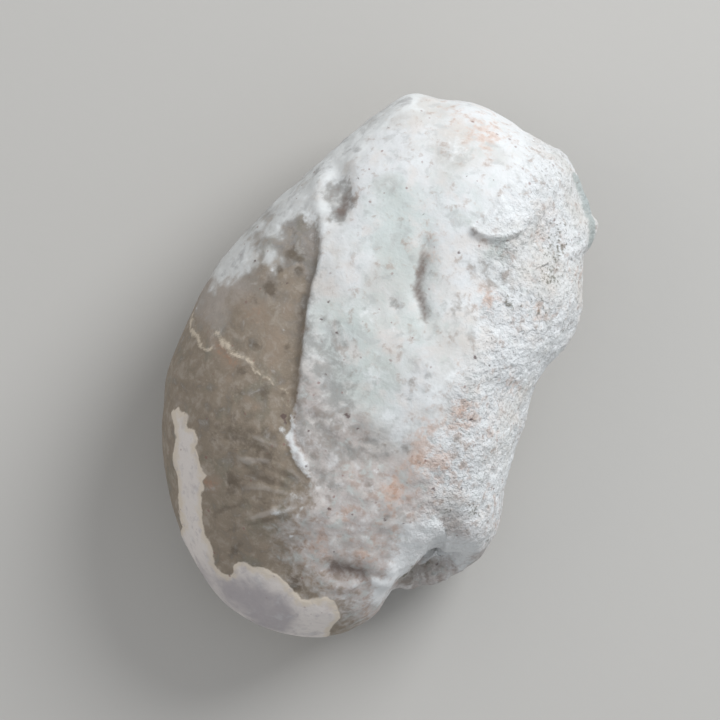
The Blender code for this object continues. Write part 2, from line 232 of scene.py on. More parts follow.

# ---- tints of the upper side, some of them painted shade and painted light: x, y, half width, strength ----
BLUSH = (
    (-0.5, 16.1, 1.43, 0.81), (-3.2, 16.4, 1.3, 0.32), (-5.9, 8.8, 0.4, 0.8), (-2.1, 0.1, 0.59, 0.54),
    (4.4, -0.9, 0.59, 0.63), (4.9, -1.8, 0.52, 0.81), (6.7, -3.0, 1.43, 0.63), (6.2, 0.7, 0.91, 0.72),
    (8.4, 0.1, 0.78, 0.54), (4.1, -3.1, 0.39, 0.72), (5.1, -3.2, 0.65, 0.63), (4.9, -4.8, 0.78, 0.45),
    (4.1, 7.8, 1.04, 0.63), (4.2, 2.9, 1.04, 0.23), (-0.8, -4.3, 1.56, 0.32), (-1.5, -5.8, 1.3, 0.32),
    (1.7, -6.4, 1.04, 0.36), (5.0, -6.6, 0.65, 0.9), (5.0, -7.6, 0.45, 0.63), (6.6, -4.0, 1.2, 0.35),
    (4.6, -2.6, 0.5, 0.7), (5.3, -3.8, 0.5, 0.7), (4.8, -5.9, 0.6, 0.7),
    (5.0, -10.4, 0.5, 0.7), (4.7, -11.4, 1.2, 0.6), (2.5, -12.0, 1.2, 0.4), (4.8, -13.6, 1.69, 0.45),
    (7.3, -13.5, 1.17, 0.27), (11.2, -5.0, 0.78, 0.54), (10.1, -3.7, 0.78, 0.36), (6.3, -8.2, 1.04, 0.36),
    (2.8, -8.8, 0.65, 0.45), (5.8, 12.5, 0.65, 0.63), (7.6, 8.0, 0.65, 0.81), (0.3, 7.7, 0.52, 0.36),
    (8.6, 11.2, 0.65, 0.45), (8.5, 3.3, 0.65, 0.72), (6.4, -0.5, 1.0, 0.7), (4.7, 7.0, 0.8, 0.6),
    (-0.8, 8.5, 1.1, 0.45), (2.2, -11.2, 1.17, 0.36),
)
TAN = (
    (-7.9, -0.5, 1.0, 0.7), (-8.7, 2.0, 0.8, 0.4), (-6.2, -1.2, 0.9, 0.8), (-6.4, 0.7, 0.5, 0.7),
    (-8.9, -3.4, 0.5, 0.9), (-7.9, -3.9, 0.6, 0.9), (-8.8, 0.2, 1.3, 0.5), (-7.1, 2.4, 0.5, 0.5),
    (-6.7, 4.5, 0.5, 0.4),
    (-9.8, -4.7, 0.8, 0.3), (-5.7, -2.5, 0.8, 0.7), (-5.3, -11.0, 0.55, 1.3), (-5.7, -11.0, 0.3, 1.0),
    (-7.5, -4.9, 0.3, 0.9), (-5.2, -5.5, 0.4, 0.9), (-5.9, -5.4, 0.3, 0.8), (-5.0, -8.5, 0.2, 0.8),
    (-1.9, -8.0, 0.4, 0.5), (-3.5, -6.4, 0.9, 0.3), (-1.2, -12.5, 1.0, 0.25), (-3.6, -9.9, 0.9, 0.3),
)
GLOOM = (
    (-5.6, -7.6, 1.6, 0.45), (-3.6, -8.6, 1.3, 0.30), (-6.4, -5.6, 1.2, 0.25), (-3.6, -6.9, 1.0, 0.30),
    (-7.9, 4.0, 0.45, 1.0), (-7.0, 3.2, 0.25, 1.0), (-8.1, 2.7, 0.3, 0.9), (-8.4, 5.2, 0.3, 0.6),
    (-8.0, 1.4, 0.5, 1.1), (-7.3, 3.9, 0.5, 0.5), (-6.2, 3.3, 0.5, 0.3), (-5.6, 0.9, 0.45, 0.5),
    (-5.3, -1.4, 0.4, 0.7), (-7.2, -2.2, 0.45, 0.6), (-7.0, -3.9, 0.5, 0.5), (-8.6, 0.2, 0.4, 0.4),
    (-5.4, 4.8, 0.2, 0.5), (-3.0, -7.9, 0.35, 0.9), (-5.2, -4.5, 0.5, 0.6), (-4.1, -4.0, 0.3, 0.7),
    (-4.0, -10.5, 0.5, 0.9), (-4.6, -10.1, 0.35, 0.5), (-2.1, -14.0, 0.5, 0.7), (2.0, -14.0, 0.6, 0.8),
    (1.7, -11.8, 0.6, 0.6),
    (-10.4, 4.9, 0.3, 0.4), (5.6, -16.8, 0.8, 0.7), (-9.6, -9.3, 0.5, 0.3),
)
GREEN = (
    (-3.0, 1.5, 2.6, 0.6), (-1.0, 7.0, 2.6, 0.4), (-3.2, 8.5, 2.4, 0.6), (0.2, -1.5, 2.8, 0.8),
    (1.6, 4.0, 2.2, 0.5), (0.5, 12.0, 2.5, 0.35),
    (3.6, 10.2, 1.0, 0.7), (7.3, -12.2, 1.0, 1.0), (-2.6, 1.9, 0.4, 0.8), (-3.2, 10.5, 1.6, 0.4),
)
# Grey dirt in hollows, and painted shade: a band on the matrix beside the crest's lower half, where it slopes away
# from the light, and spots on the back lobe and in hollows that lie in shadow.
GREY_DIRT_AND_SHADE = (
    (-3.8, 10.0, 0.6, 0.3), (-2.2, 8.6, 0.5, 0.5), (-1.0, 8.5, 0.3, 0.6), (-4.1, 1.2, 0.2, 0.8),
    (-3.2, 1.5, 0.2, 0.9),
    (-3.6, -0.3, 0.35, 0.7), (-4.1, -0.4, 0.3, 0.6), (-2.2, 0.5, 0.2, 0.7), (-3.0, -1.7, 0.3, 1.0),
    (-2.3, -1.2, 0.3, 0.9), (-3.0, -0.4, 0.25, 0.6), (-0.8, 4.2, 0.3, 0.9), (-0.3, 4.1, 0.25, 0.9),
    (-2.1, 3.0, 0.2, 0.6), (2.5, 0.3, 0.25, 0.6), (2.9, -0.6, 0.35, 0.7), (3.3, 1.1, 0.3, 1.0),
    (0.9, -3.8, 0.4, 0.8),
    (2.2, -4.1, 0.5, 0.7), (3.4, -4.8, 0.7, 0.8), (4.3, -3.5, 0.4, 1.0), (1.2, -5.5, 0.6, 0.5),
    (6.7, -1.6, 0.5, 0.7),
    (7.3, -2.5, 0.5, 0.5), (-1.6, -2.5, 0.9, 0.4), (5.3, -7.9, 0.25, 1.1), (2.0, -5.2, 0.8, 0.6),
    (8.1, -5.8, 0.5, 0.6),
    (8.6, -6.5, 0.35, 0.5), (1.6, -7.6, 0.6, 0.5), (5.4, -13.5, 0.9, 0.5), (5.5, -14.8, 0.8, 0.5),
    (3.2, -6.5, 0.5, 0.4),
    (0.4, 6.9, 0.3, 0.6), (9.6, -10.1, 1.2, 0.3), (3.6, 8.7, 1.0, 0.8), (5.0, 8.5, 0.9, 0.7),
    (2.5, 5.6, 1.1, 0.4), (4.1, 5.0, 1.1, 0.35), (-1.9, -5.0, 0.6, 0.5),
    (-2.8, 0.3, 1.2, 0.75), (-1.9, -1.5, 1.2, 0.65), (-0.8, -2.8, 1.3, 0.85), (-0.9, -4.9, 1.2, 0.80),
    (0.4, -5.6, 1.0, 0.5),
    (0.7, -7.5, 1.2, 0.65), (4.0, -11.8, 1.3, 0.5), (4.7, -11.8, 0.8, 0.5),
)
# Dark olive grains in pits, with painted shade in the pits; on the back lobe they add to its painted shadow.
CLUSTER = (
    (6.5, 13.4, 0.7, 0.55), (6.9, 12.6, 0.8, 0.5), (7.2, 12.0, 0.7, 0.6), (7.3, 10.3, 0.88, 1.0),
    (5.8, 7.7, 0.81, 0.8), (7.6, 8.2, 0.74, 0.8), (8.5, 3.4, 0.6, 0.7), (4.2, 10.2, 0.54, 0.7),
    (9.8, 7.9, 0.54, 0.6), (5.7, 4.7, 0.68, 0.5), (6.6, 15.0, 0.68, 0.3), (8.0, -5.4, 0.54, 0.7),
    (9.4, -4.7, 0.61, 0.9), (6.8, -6.1, 0.54, 0.6), (10.3, -6.6, 0.94, 0.2), (11.0, -6.1, 0.47, 0.8),
    (9.4, -9.0, 1.08, 0.4), (8.7, -9.9, 1.08, 0.6), (8.3, -10.3, 0.94, 0.9),
    (10.6, -3.7, 0.54, 0.5), (9.0, -2.2, 0.68, 0.4), 
)
# White flecks and patches, and painted light: the larger spots beside the fold and at the crest's foot light up
# slopes that lie in shade.
FLECKS_AND_PAINTED_LIGHT = (
    (9.9, -7.0, 1.0, 0.55), (10.7, -6.7, 0.8, 0.3), (8.2, -7.8, 1.2, 0.75), (9.0, -7.5, 0.8, 0.5),
    (9.2, 6.6, 1.0, 0.3), (8.3, 4.6, 1.2, 0.3), (-7.0, 5.2, 0.6, 0.35),
    (0.5, -11.5, 0.17, 1.2),
    (-1.1, -10.7, 0.3, 0.5), (1.3, -9.4, 0.2, 0.8), (2.7, -7.5, 0.3, 0.6), (3.3, -5.6, 0.3, 0.8),
    (4.7, -9.6, 0.5, 0.6),
    (2.2, -12.8, 0.2, 0.6), (0.9, -13.1, 0.25, 0.5), (2.6, -11.2, 0.4, 0.4), (6.4, -11.6, 0.3, 0.9),
    (4.3, -13.1, 0.3, 0.5), (-9.4, 5.1, 0.3, 0.9), (-10.6, 2.7, 0.3, 0.7), (-8.3, 7.8, 0.3, 0.5),
    (-8.5, 2.5, 0.2, 0.8),
    (-10.5, 3.9, 0.2, 0.6), (-11.4, -1.9, 0.12, 0.8), (-7.0, 0.6, 0.14, 0.6),
    (-6.1, -0.5, 0.12, 0.7), (0.1, 2.7, 0.4, 0.6), (2.3, -2.1, 0.5, 0.8), (-3.1, 2.7, 0.5, 0.5),
    (1.9, 1.8, 0.5, 0.3),
    (-5.1, 1.1, 0.25, 0.7), (4.5, 1.9, 0.4, 0.6), (5.8, 5.7, 0.5, 0.6), (-7.8, 6.5, 0.6, 1.1),
    (-6.6, 6.2, 0.5, 0.9), (8.6, 4.7, 1.4, 1.0), (3.7, -2.8, 1.2, 0.8), (5.7, -2.9, 0.8, 0.5),
    (0.4, -0.4, 1.2, 0.7), (-1.7, 2.7, 1.2, 0.5), (4.0, 13.2, 1.0, 0.5), (9.6, 6.9, 0.9, 0.5),
    (-1.8, 14.5, 1.3, 0.6), (9.3, 0.4, 1.2, 0.7), (9.8, -1.7, 1.2, 0.8), (2.9, 12.2, 1.3, 0.6),
    (6.7, -7.7, 0.5, 0.7), (7.7, -6.9, 0.5, 0.6),
    (6.9, -8.9, 1.1, 0.7), (7.3, -10.4, 0.6, 0.6), (7.5, -11.9, 0.6, 0.7), (6.9, -12.8, 0.8, 0.55),
    (4.3, 0.3, 1.4, 0.75), (10.7, -8.1, 0.9, 0.75), (10.3, -6.4, 1.1, 0.4), (8.3, -7.3, 1.0, 0.5),
    (7.4, -6.5, 0.9, 0.4), (9.4, -5.3, 0.3, 0.5),
)
# Chalk film on the left flank, and painted light at the crest's foot (near -7.0, 5.2 and -6.4, 3.2), where the
# crest's step shades the valve.
FLANK_FILM_AND_LIGHT = (
    (-10.9, 0.4, 1.4, 0.9), (-11.2, -1.5, 1.2, 0.8), (-10.0, -1.9, 1.0, 0.6), (-9.6, 0.2, 1.0, 0.6),
    (-10.8, -6.0, 0.7, 0.4), (-11.4, -4.0, 0.7, 0.4), (-9.6, -7.5, 0.7, 0.6), (-7.0, 5.2, 0.9, 0.8),
    (-6.4, 3.2, 0.6, 0.5),
)
VEIL_THIN = (
    (-9.8, 3.7, 0.8, 1.0), (-10.3, 5.4, 0.7, 0.8), (-8.4, 5.0, 0.9, 0.9), (-10.8, 4.1, 0.5, 0.5),
    (-8.4, 3.0, 0.5, 0.5),
    (-7.2, 13.9, 1.0, 0.5), (-9.4, 8.6, 0.8, 0.4),
)
CRUST_GREY = (
    (-0.9, -16.2, 1.2, 0.9), (1.2, -16.1, 1.4, 1.0), (2.3, -16.2, 1.0, 0.8), (-3.1, -16.3, 1.2, 0.7),
)
# Dark grains: x, y, radius.
SPECKS = (
    (-7.3, 2.2, 0.09), (-9.6, 2.4, 0.07), (-3.35, -5.35, 0.17), (-3.20, -5.60, 0.15), (-2.8, -5.0, 0.09),
    (-3.4, -3.6, 0.08),
    (-3.1, -6.5, 0.07), (-0.6, -7.3, 0.1), (0.1, -3.4, 0.14), (1.0, -3.8, 0.1), (-6.3, 10.0, 0.09),
    (-1.6, 10.0, 0.07), (1.4, 8.9, 0.07), (-6.2, 13.7, 0.07), (-0.3, 13.2, 0.07), (3.6, 9.2, 0.07),
    (-4.3, 2.4, 0.1),
    (-4.1, 1.2, 0.09), (-3.0, 0.9, 0.08), (-2.4, -1.8, 0.1), (5.3, 3.6, 0.1), (6.3, 3.5, 0.07),
    (6.9, 0.0, 0.1),
    (4.5, 1.3, 0.06), (-1.6, -5.4, 0.07), (5.3, -3.3, 0.07), (1.3, -6.6, 0.08), (0.5, -7.5, 0.08),
    (1.8, -8.9, 0.1),
    (6.8, -4.9, 0.08), (7.0, -5.2, 0.08), (8.3, -4.0, 0.07), (5.2, -8.0, 0.1), (5.4, -5.7, 0.07),
    (6.3, -7.6, 0.07),
    (9.8, -7.5, 0.07), (9.3, -8.9, 0.08), (10.5, -8.5, 0.06), (8.7, -10.2, 0.06), (10.8, -4.4, 0.07),
    (4.3, -11.5, 0.07), (3.3, -11.2, 0.07), (3.3, -8.6, 0.07), (2.1, -10.7, 0.07),
)


def linear(text):
    """A colour written as sRGB hex, such as #c0ffee, in the linear values that a shader takes."""
    parts = (int(text[i : i + 2], 16) / 255 for i in (1, 3, 5))
    return tuple(c / 12.92 if c <= 0.04045 else ((c + 0.055) / 1.055) ** 2.4 for c in parts)


def tint(name, text, description):
    return FloatVectorProperty(
        name=name, description=description, default=linear(text), size=3, min=0, max=1, subtype="COLOR"
    )


# ---------------------------------------------------------------- shape


def bell(value, middle, half_width):
    """A bell curve that is 1 at middle and has fallen to 0.37 at half_width from it."""
    return np.exp(-(((value - middle) / half_width) ** 2))


def smooth_step(low, high, value):
    """0 below low, 1 above high and the curve 3t^2 - 2t^3 between."""
    t = np.clip((value - low) / (high - low), 0.0, 1.0)
    return t * t * (3.0 - 2.0 * t)


def signed_turn(azimuth):
    return (azimuth + np.pi) % (2 * np.pi) - np.pi


def cube_sphere(cells):
    """A unit sphere from six square grids of u and v, -1 to 1: each grid stands on one face of a cube, its
    lines are spread by tan(angle) so that they are even on the sphere, and its points are drawn in to length 1.
    Points that two grids share are made one."""
    t = np.tan(np.linspace(-1, 1, cells + 1) * np.pi / 4)
    u, v = np.meshgrid(t, t, indexing="ij")
    one = np.ones_like(u)
    grids = ((u, v, one), (v, u, -one), (one, u, v), (-one, v, u), (v, one, u), (u, -one, v))
    points = np.stack([np.stack(grid, axis=-1) for grid in grids]).reshape(-1, 3)
    index = np.arange(len(points)).reshape(6, cells + 1, cells + 1)
    corners = (index[:, :-1, :-1], index[:, 1:, :-1], index[:, 1:, 1:], index[:, :-1, 1:])
    quads = np.stack(corners, axis=-1).reshape(-1, 4)
    _, first, joined = np.unique(
        np.round(points * 1e6).astype(np.int64), axis=0, return_index=True, return_inverse=True
    )
    points = points[first]
    return points / np.linalg.norm(points, axis=1, keepdims=True), joined.reshape(-1)[quads]


def outline_radius(azimuth):
    """The outline's distance from the middle: a closed cubic through the outline's points, in polar form."""
    x, y = np.array(OUTLINE).T
    angle = np.arctan2(y, x) % (2 * np.pi)
    order = np.argsort(angle)
    angle, radius = angle[order], np.hypot(x, y)[order]
    angle = np.concatenate([angle[-2:] - 2 * np.pi, angle, angle[:2] + 2 * np.pi])
    radius = np.concatenate([radius[-2:], radius, radius[:2]])
    slope = np.gradient(radius, angle)
    turned = azimuth % (2 * np.pi)
    left = np.clip(np.searchsorted(angle, turned) - 1, 0, len(angle) - 2)
    width = angle[left + 1] - angle[left]
    t = (turned - angle[left]) / width
    return (
        (2 * t**3 - 3 * t**2 + 1) * radius[left]
        + (t**3 - 2 * t**2 + t) * width * slope[left]
        + (-2 * t**3 + 3 * t**2) * radius[left + 1]
        + (t**3 - t**2) * width * slope[left + 1]
    )


def plain_radius(azimuth):
    """The outline without its small bays: its mean and first waves around the turn."""
    turn = np.linspace(0, 2 * np.pi, 360, endpoint=False)
    waves = np.fft.rfft(outline_radius(turn)) / len(turn)
    total = np.full(azimuth.shape, waves[0].real)
    for count in range(1, PLAIN_WAVES + 1):
        total += 2 * (waves[count] * np.exp(1j * count * azimuth)).real
    return total


def back_lobe_share(azimuth, end):
    """1 where the back lobe stands out most under the front one, 0 elsewhere."""
    turned = signed_turn(azimuth)
    return smooth_step(BACK_LOBE_START, BACK_LOBE_FULL, turned) * (
        1 - smooth_step(BACK_LOBE_FULL, end, turned)
    )


def fin_share(azimuth):
    """1 along the shoulder where a thin flake stands out from the rim, 0 elsewhere."""
    turned = signed_turn(azimuth)
    return smooth_step(FIN_START, FIN_START - 0.09, turned) * smooth_step(FIN_END, FIN_END + 0.03, turned)


def rim_height(azimuth):
    """The height of the widest line: high at the crown, low at the foot and lowest on the back lobe."""
    rim = RIM_HEIGHT + 0.9 * np.sin(azimuth) - 0.5 * np.cos(azimuth)
    lobe = np.exp(-(((signed_turn(azimuth) - BACK_LOBE_FULL) / np.radians(26)) ** 2))
    return rim * (1 - lobe) + BACK_LOBE_RIM * lobe


def body(directions, summit):
    """The main form: an ellipsoid with full sides, whose widest line follows the outline. A direction's azimuth
    picks the outline's radius, and its sine of elevation runs the height from the belly through the rim to
    the summit, while cosine^fullness draws the radius in."""
    x, y, z = directions.T
    azimuth = np.arctan2(y, x)
    sine = z + DRAW_UP * (1 - z * z)
    cosine = np.sqrt(np.clip(1 - sine * sine, 0, 1))
    rise = np.clip(sine, 0, 1)
    sink = np.clip(-sine, 0, 1) ** BELLY_FULLNESS
    height = rim_height(azimuth) * (1 - rise - sink) + summit * rise - REST_CUT * sink
    over = smooth_step(CREVICE_HEIGHT - 1.2, CREVICE_HEIGHT + 0.8, height)
    crevice = np.exp(-(((height - CREVICE_HEIGHT) / CREVICE_HALF_WIDTH) ** 2))
    bays = cosine**BAY_REACH
    radius = outline_radius(azimuth) * bays + plain_radius(azimuth) * (1 - bays)
    reach = (
        radius * cosine**SIDE_FULLNESS
        - BACK_LOBE_STEP * back_lobe_share(azimuth, BACK_LOBE_END) * over * cosine**3
        - CREVICE_DEPTH * back_lobe_share(azimuth, CREVICE_END) * crevice
        - FIN_REACH * fin_share(azimuth) * (1 - np.exp(-(((height - FIN_HEIGHT) / FIN_HALF_THICKNESS) ** 2)))
    )
    lean = np.clip(sine, 0, 1) ** 2
    return np.column_stack(
        [
            reach * np.cos(azimuth) + SUMMIT_SHIFT[0] * lean,
            reach * np.sin(azimuth) + SUMMIT_SHIFT[1] * lean,
            height,
        ]
    )


def path_distance(x, y, path):
    """Each point's distance to a path, its side (1 on the left as the path runs) and its place along it, 0 to 1."""
    ends = np.array(path, float)
    steps = np.diff(ends, axis=0)
    lengths = np.hypot(*steps.T)
    along = np.concatenate([[0], np.cumsum(lengths)])
    nearest = np.full(x.shape, np.inf)
    side = np.zeros(x.shape)
    place = np.zeros(x.shape)
    for start, step, length, before in zip(ends, steps, lengths, along):
        px, py = x - start[0], y - start[1]
        t = np.clip((px * step[0] + py * step[1]) / length**2, 0, 1)
        away = np.hypot(px - t * step[0], py - t * step[1])
        closer = away < nearest
        nearest = np.where(closer, away, nearest)
        side = np.where(closer, np.sign(step[0] * py - step[1] * px), side)
        place = np.where(closer, (before + t * length) / along[-1], place)
    return nearest, side, place


def patch_distance(x, y, corners):
    """Distance to a closed outline, positive inside it. A point is inside if a ray from it to +X crosses the
    outline an odd number of times."""
    closed = np.array(corners + corners[:1], float)
    away, _, _ = path_distance(x, y, closed)
    crossings = np.zeros(x.shape, int)
    for (x0, y0), (x1, y1) in zip(closed[:-1], closed[1:]):
        if y0 == y1:
            continue
        spans = (y0 > y) != (y1 > y)
        crossings += spans & (x < x0 + (y - y0) * (x1 - x0) / (y1 - y0))
    return np.where(crossings % 2 == 1, away, -away)


def strokes(x, y, paths, half_width, ends=0.15):
    """Soft lines along paths: the greatest exp(-(distance / half width)^2), fading over each path's two ends."""
    total = np.zeros(x.shape)
    for path in paths:
        away, _, place = path_distance(x, y, path)
        fade = smooth_step(-0.02, ends, place) * (1 - smooth_step(1 - ends, 1.02, place))
        total = np.maximum(total, (0.2 + 0.8 * fade) * np.exp(-((away / half_width) ** 2)))
    return total


def blobs(x, y, table):
    """The sum of round spots with soft sides: strength * exp(-(distance / half width)^2)."""
    total = np.zeros(x.shape)
    for centre_x, centre_y, half_width, strength in table:
        away = np.hypot(x - centre_x, y - centre_y)
        total += strength * np.exp(-((away / half_width) ** 2))
    return total


def seen_plan(points):
    """Each point moved level to where it is seen from the camera's place: higher ones are seen further out."""
    grow = CAMERA_RISE / (CAMERA_RISE + CAMERA_LEVEL - points[:, 2:])
    plan = CAMERA_PLAN + (points[:, :2] - CAMERA_PLAN) * grow
    return np.column_stack([plan, points[:, 2]])


TILT = np.array([[0.79, -0.42, 0.44], [0.55, 0.80, -0.22], [-0.26, 0.42, 0.87]])


def smooth_noise(points, size, seed):
    """Random values, -1 to 1, at the corners of a tilted cubic lattice, blended smoothly between them."""
    values = np.random.default_rng(seed).uniform(-1, 1, (32, 32, 32))
    place = points @ TILT / size + 16.5
    corner = np.floor(place).astype(int)
    t = place - corner
    t = t * t * (3 - 2 * t)
    total = np.zeros(len(points))
    for step in np.ndindex(2, 2, 2):
        share = np.prod(np.where(np.array(step) == 1, t, 1 - t), axis=1)
        total += share * values[tuple((corner + step).T % 32)]
    return total


def rough_noise(points, size, octaves, seed):
    """Layers of smooth noise, each half the size and about half the height of the one before."""
    total = np.zeros(len(points))
    for octave in range(octaves):
        total += 0.55**octave * smooth_noise(points, size / 2**octave, seed + 31 * octave)
    return total


def scatter_distance(points, size, seed):
    """Distance to the nearest of random points, one in each cell of a cubic lattice, in cell widths, and that
    point's own random number, 0 to 1."""
    rng = np.random.default_rng(seed)
    spots = rng.uniform(0.1, 0.9, (32, 32, 32, 3))
    numbers = rng.uniform(0, 1, (32, 32, 32))
    place = points @ TILT / size + 16.5
    corner = np.floor(place).astype(int)
    nearest = np.full(len(points), 9.0)
    number = np.zeros(len(points))
    for step in np.ndindex(3, 3, 3):
        cell = corner + step - 1
        key = tuple(cell.T % 32)
        away = np.linalg.norm(place - cell - spots[key], axis=1)
        closer = away < nearest
        nearest = np.where(closer, away, nearest)
        number = np.where(closer, numbers[key], number)
    return nearest, number


def terraces(value, steps):
    """Turns a slow rise into flats with short steps between them."""
    scaled = value * steps
    whole = np.floor(scaled)
    return (whole + smooth_step(0.3, 0.7, scaled - whole)) / steps


def surface_marks(points, normals):
    """What each point of the stone is made of and how much, and where shade and light are painted on it, from its
    place:
    the values that both the fine relief and the materials read. Distances are signed, positive inside."""
    x, y = points[:, 0], points[:, 1]
    upper = smooth_step(-0.45, -0.05, normals[:, 2])
    top = smooth_step(0.05, 0.45, normals[:, 2])
    wx = x + 0.07 * rough_noise(points, 0.7, 3, 101)
    wy = y + 0.07 * rough_noise(points, 0.7, 3, 202)
    # under the rim the borders wander, since a border drawn in plan would run straight down there
    wander = 1 - smooth_step(-0.30, 0.10, normals[:, 2])
    far_x = wx + 1.6 * wander * rough_noise(points, 3.2, 3, 311)
    far_y = wy + 1.6 * wander * rough_noise(points, 3.2, 3, 312)
    ragged = smooth_step(-0.45, -0.05, normals[:, 2] + 0.35 * rough_noise(points, 2.6, 3, 313) * wander)

    away, side, _ = path_distance(wx, wy, VALVE_EDGE)
    above = -away * side / np.interp(y, *VALVE_EDGE_SOFTNESS)
    away, side, _ = path_distance(
        x + 0.5 * rough_noise(points, 1.5, 3, 303), y + 0.5 * rough_noise(points, 1.5, 3, 304), UNDER_EDGE
    )
    valve = np.clip(upper * above - (1 - upper) * away * side / 0.35, -8, 8)

    crust_above = patch_distance(far_x, far_y, CRUST)
    crust_below = 1.6 * rough_noise(points, 4.5, 3, 305) - 0.55
    crust = np.clip(ragged * crust_above + (1 - ragged) * crust_below, -3, 3)
    shell = smooth_step(-1, 1, valve) * (1 - smooth_step(-0.1, 0.1, crust))

    veil = smooth_step(-0.6, 0.7, patch_distance(far_x, far_y, BLOOM) + 0.6 * rough_noise(points, 1.3, 3, 310))
    patches = smooth_step(0.15, 0.5, rough_noise(points, 2.2, 3, 306))
    veil = ragged * veil * (1 - 0.75 * np.clip(blobs(wx, wy, VEIL_THIN), 0, 1)) + (1 - ragged) * 0.8 * patches

    jag = 0.13 * smooth_noise(points, 0.45, 307)
    seam_away, seam_side, seam_place = path_distance(wx + jag, wy + jag, SEAM)
    seam_width = 0.11 + 0.07 * (1 - seam_place)
    seam = np.exp(-((seam_away / seam_width) ** 2)) * (1 - 0.8 * smooth_step(0.3, 0.8, seam_place))
    seam = np.maximum(seam, 1.0 * strokes(wx + jag, wy + jag, (SEAM_BRANCH,), 0.14))
    under_seam = bell(seam_away * seam_side, -0.35, 0.32) * (1 - seam_place)

    apex = np.hypot(x - UMBO[0], y - UMBO[1])
    turned = signed_turn(np.arctan2(y - UMBO[1], x - UMBO[0]) - FAN_MIDDLE)
    fan = (1 - smooth_step(0.6, 1.0, np.abs(turned) / FAN_HALF_ANGLE)) * smooth_step(0.5, 2.0, apex)
    fan *= (1 - smooth_step(3.0, 7.5, apex)) * upper
    ribs = strokes((x + wx) / 2, (y + wy) / 2, PALE_RIBS, 0.20, 0.35)
    ribs -= strokes((x + wx) / 2, (y + wy) / 2, DARK_RIBS, 0.22, 0.35)
    rays = rough_noise(np.column_stack([turned / 0.12, apex / 2.4, 0 * apex]), 1.0, 2, 315)
    ribs += 0.6 * fan * rays

    strip_away, _, strip_place = path_distance(wx, wy, HINGE_STRIP)
    strip_width = np.interp(strip_place, *HINGE_WIDTH)
    strip = 1 - smooth_step(0.6, 1.2, strip_away / strip_width)
    ledge_away, ledge_side, _ = path_distance(wx, wy, LEDGE)
    crest_away, crest_side, _ = path_distance(wx, wy, CREST)
    fold_away, fold_side, _ = path_distance(wx, wy, FOLD)
    # White chalk (hinge strip, umbo lines, flecks) and painted highlights along the crest's edge, the front lobe's
    # edge at the fold, the ledge's lip and the slit's lip, with painted light on shaded slopes.
    bright = (
        0.85 * strip
        + 0.7 * strokes(x, y, (HINGE_SIDE,), 0.22)
        + 0.5 * bell(crest_away * crest_side, 0.08, 0.14) * smooth_step(4.5, 3.0, y)
        + 0.65 * strokes(wx, wy, UMBO_LINES, 0.20, 0.3)
        + 0.8 * bell(fold_away * fold_side, *FOLD_BAND) * smooth_step(*FOLD_BAND_END, y) * top
        + 0.5 * bell(ledge_away * ledge_side, 0.22, 0.22)
        + 0.4 * strokes(wx, wy, (SLIT_LIP,), 0.16, 0.3)
        + blobs(wx, wy, FLECKS_AND_PAINTED_LIGHT)
    )
    speck = np.zeros(len(points))
    for speck_x, speck_y, radius in SPECKS:
        away = np.hypot(wx - speck_x, wy - speck_y)
        speck = np.maximum(speck, np.clip(1 - away / (2.4 * radius), 0, 1))
    edge_of_grain = x + 0.25 * y + 1.0 * smooth_noise(points, 3.0, 308)
    grain = np.clip(smooth_step(4.0, 7.0, edge_of_grain) + 0.8 * (1 - upper) * smooth_step(-2, 3, x), 0, 1)
    crest_top = 0.55 * bell(crest_away * crest_side, 0.3, 0.35) * smooth_step(5.0, 2.0, y)
    fin_away, fin_side, _ = path_distance(x, y, FIN)
    fin_level = np.exp(-(((points[:, 2] - FIN_HEIGHT) / 1.6) ** 2))
    # The pocket's grey-brown is partly painted shade in its hollow.
    pocket = smooth_step(-0.4, 0.25, patch_distance(wx, wy, POCKET_PATCH))
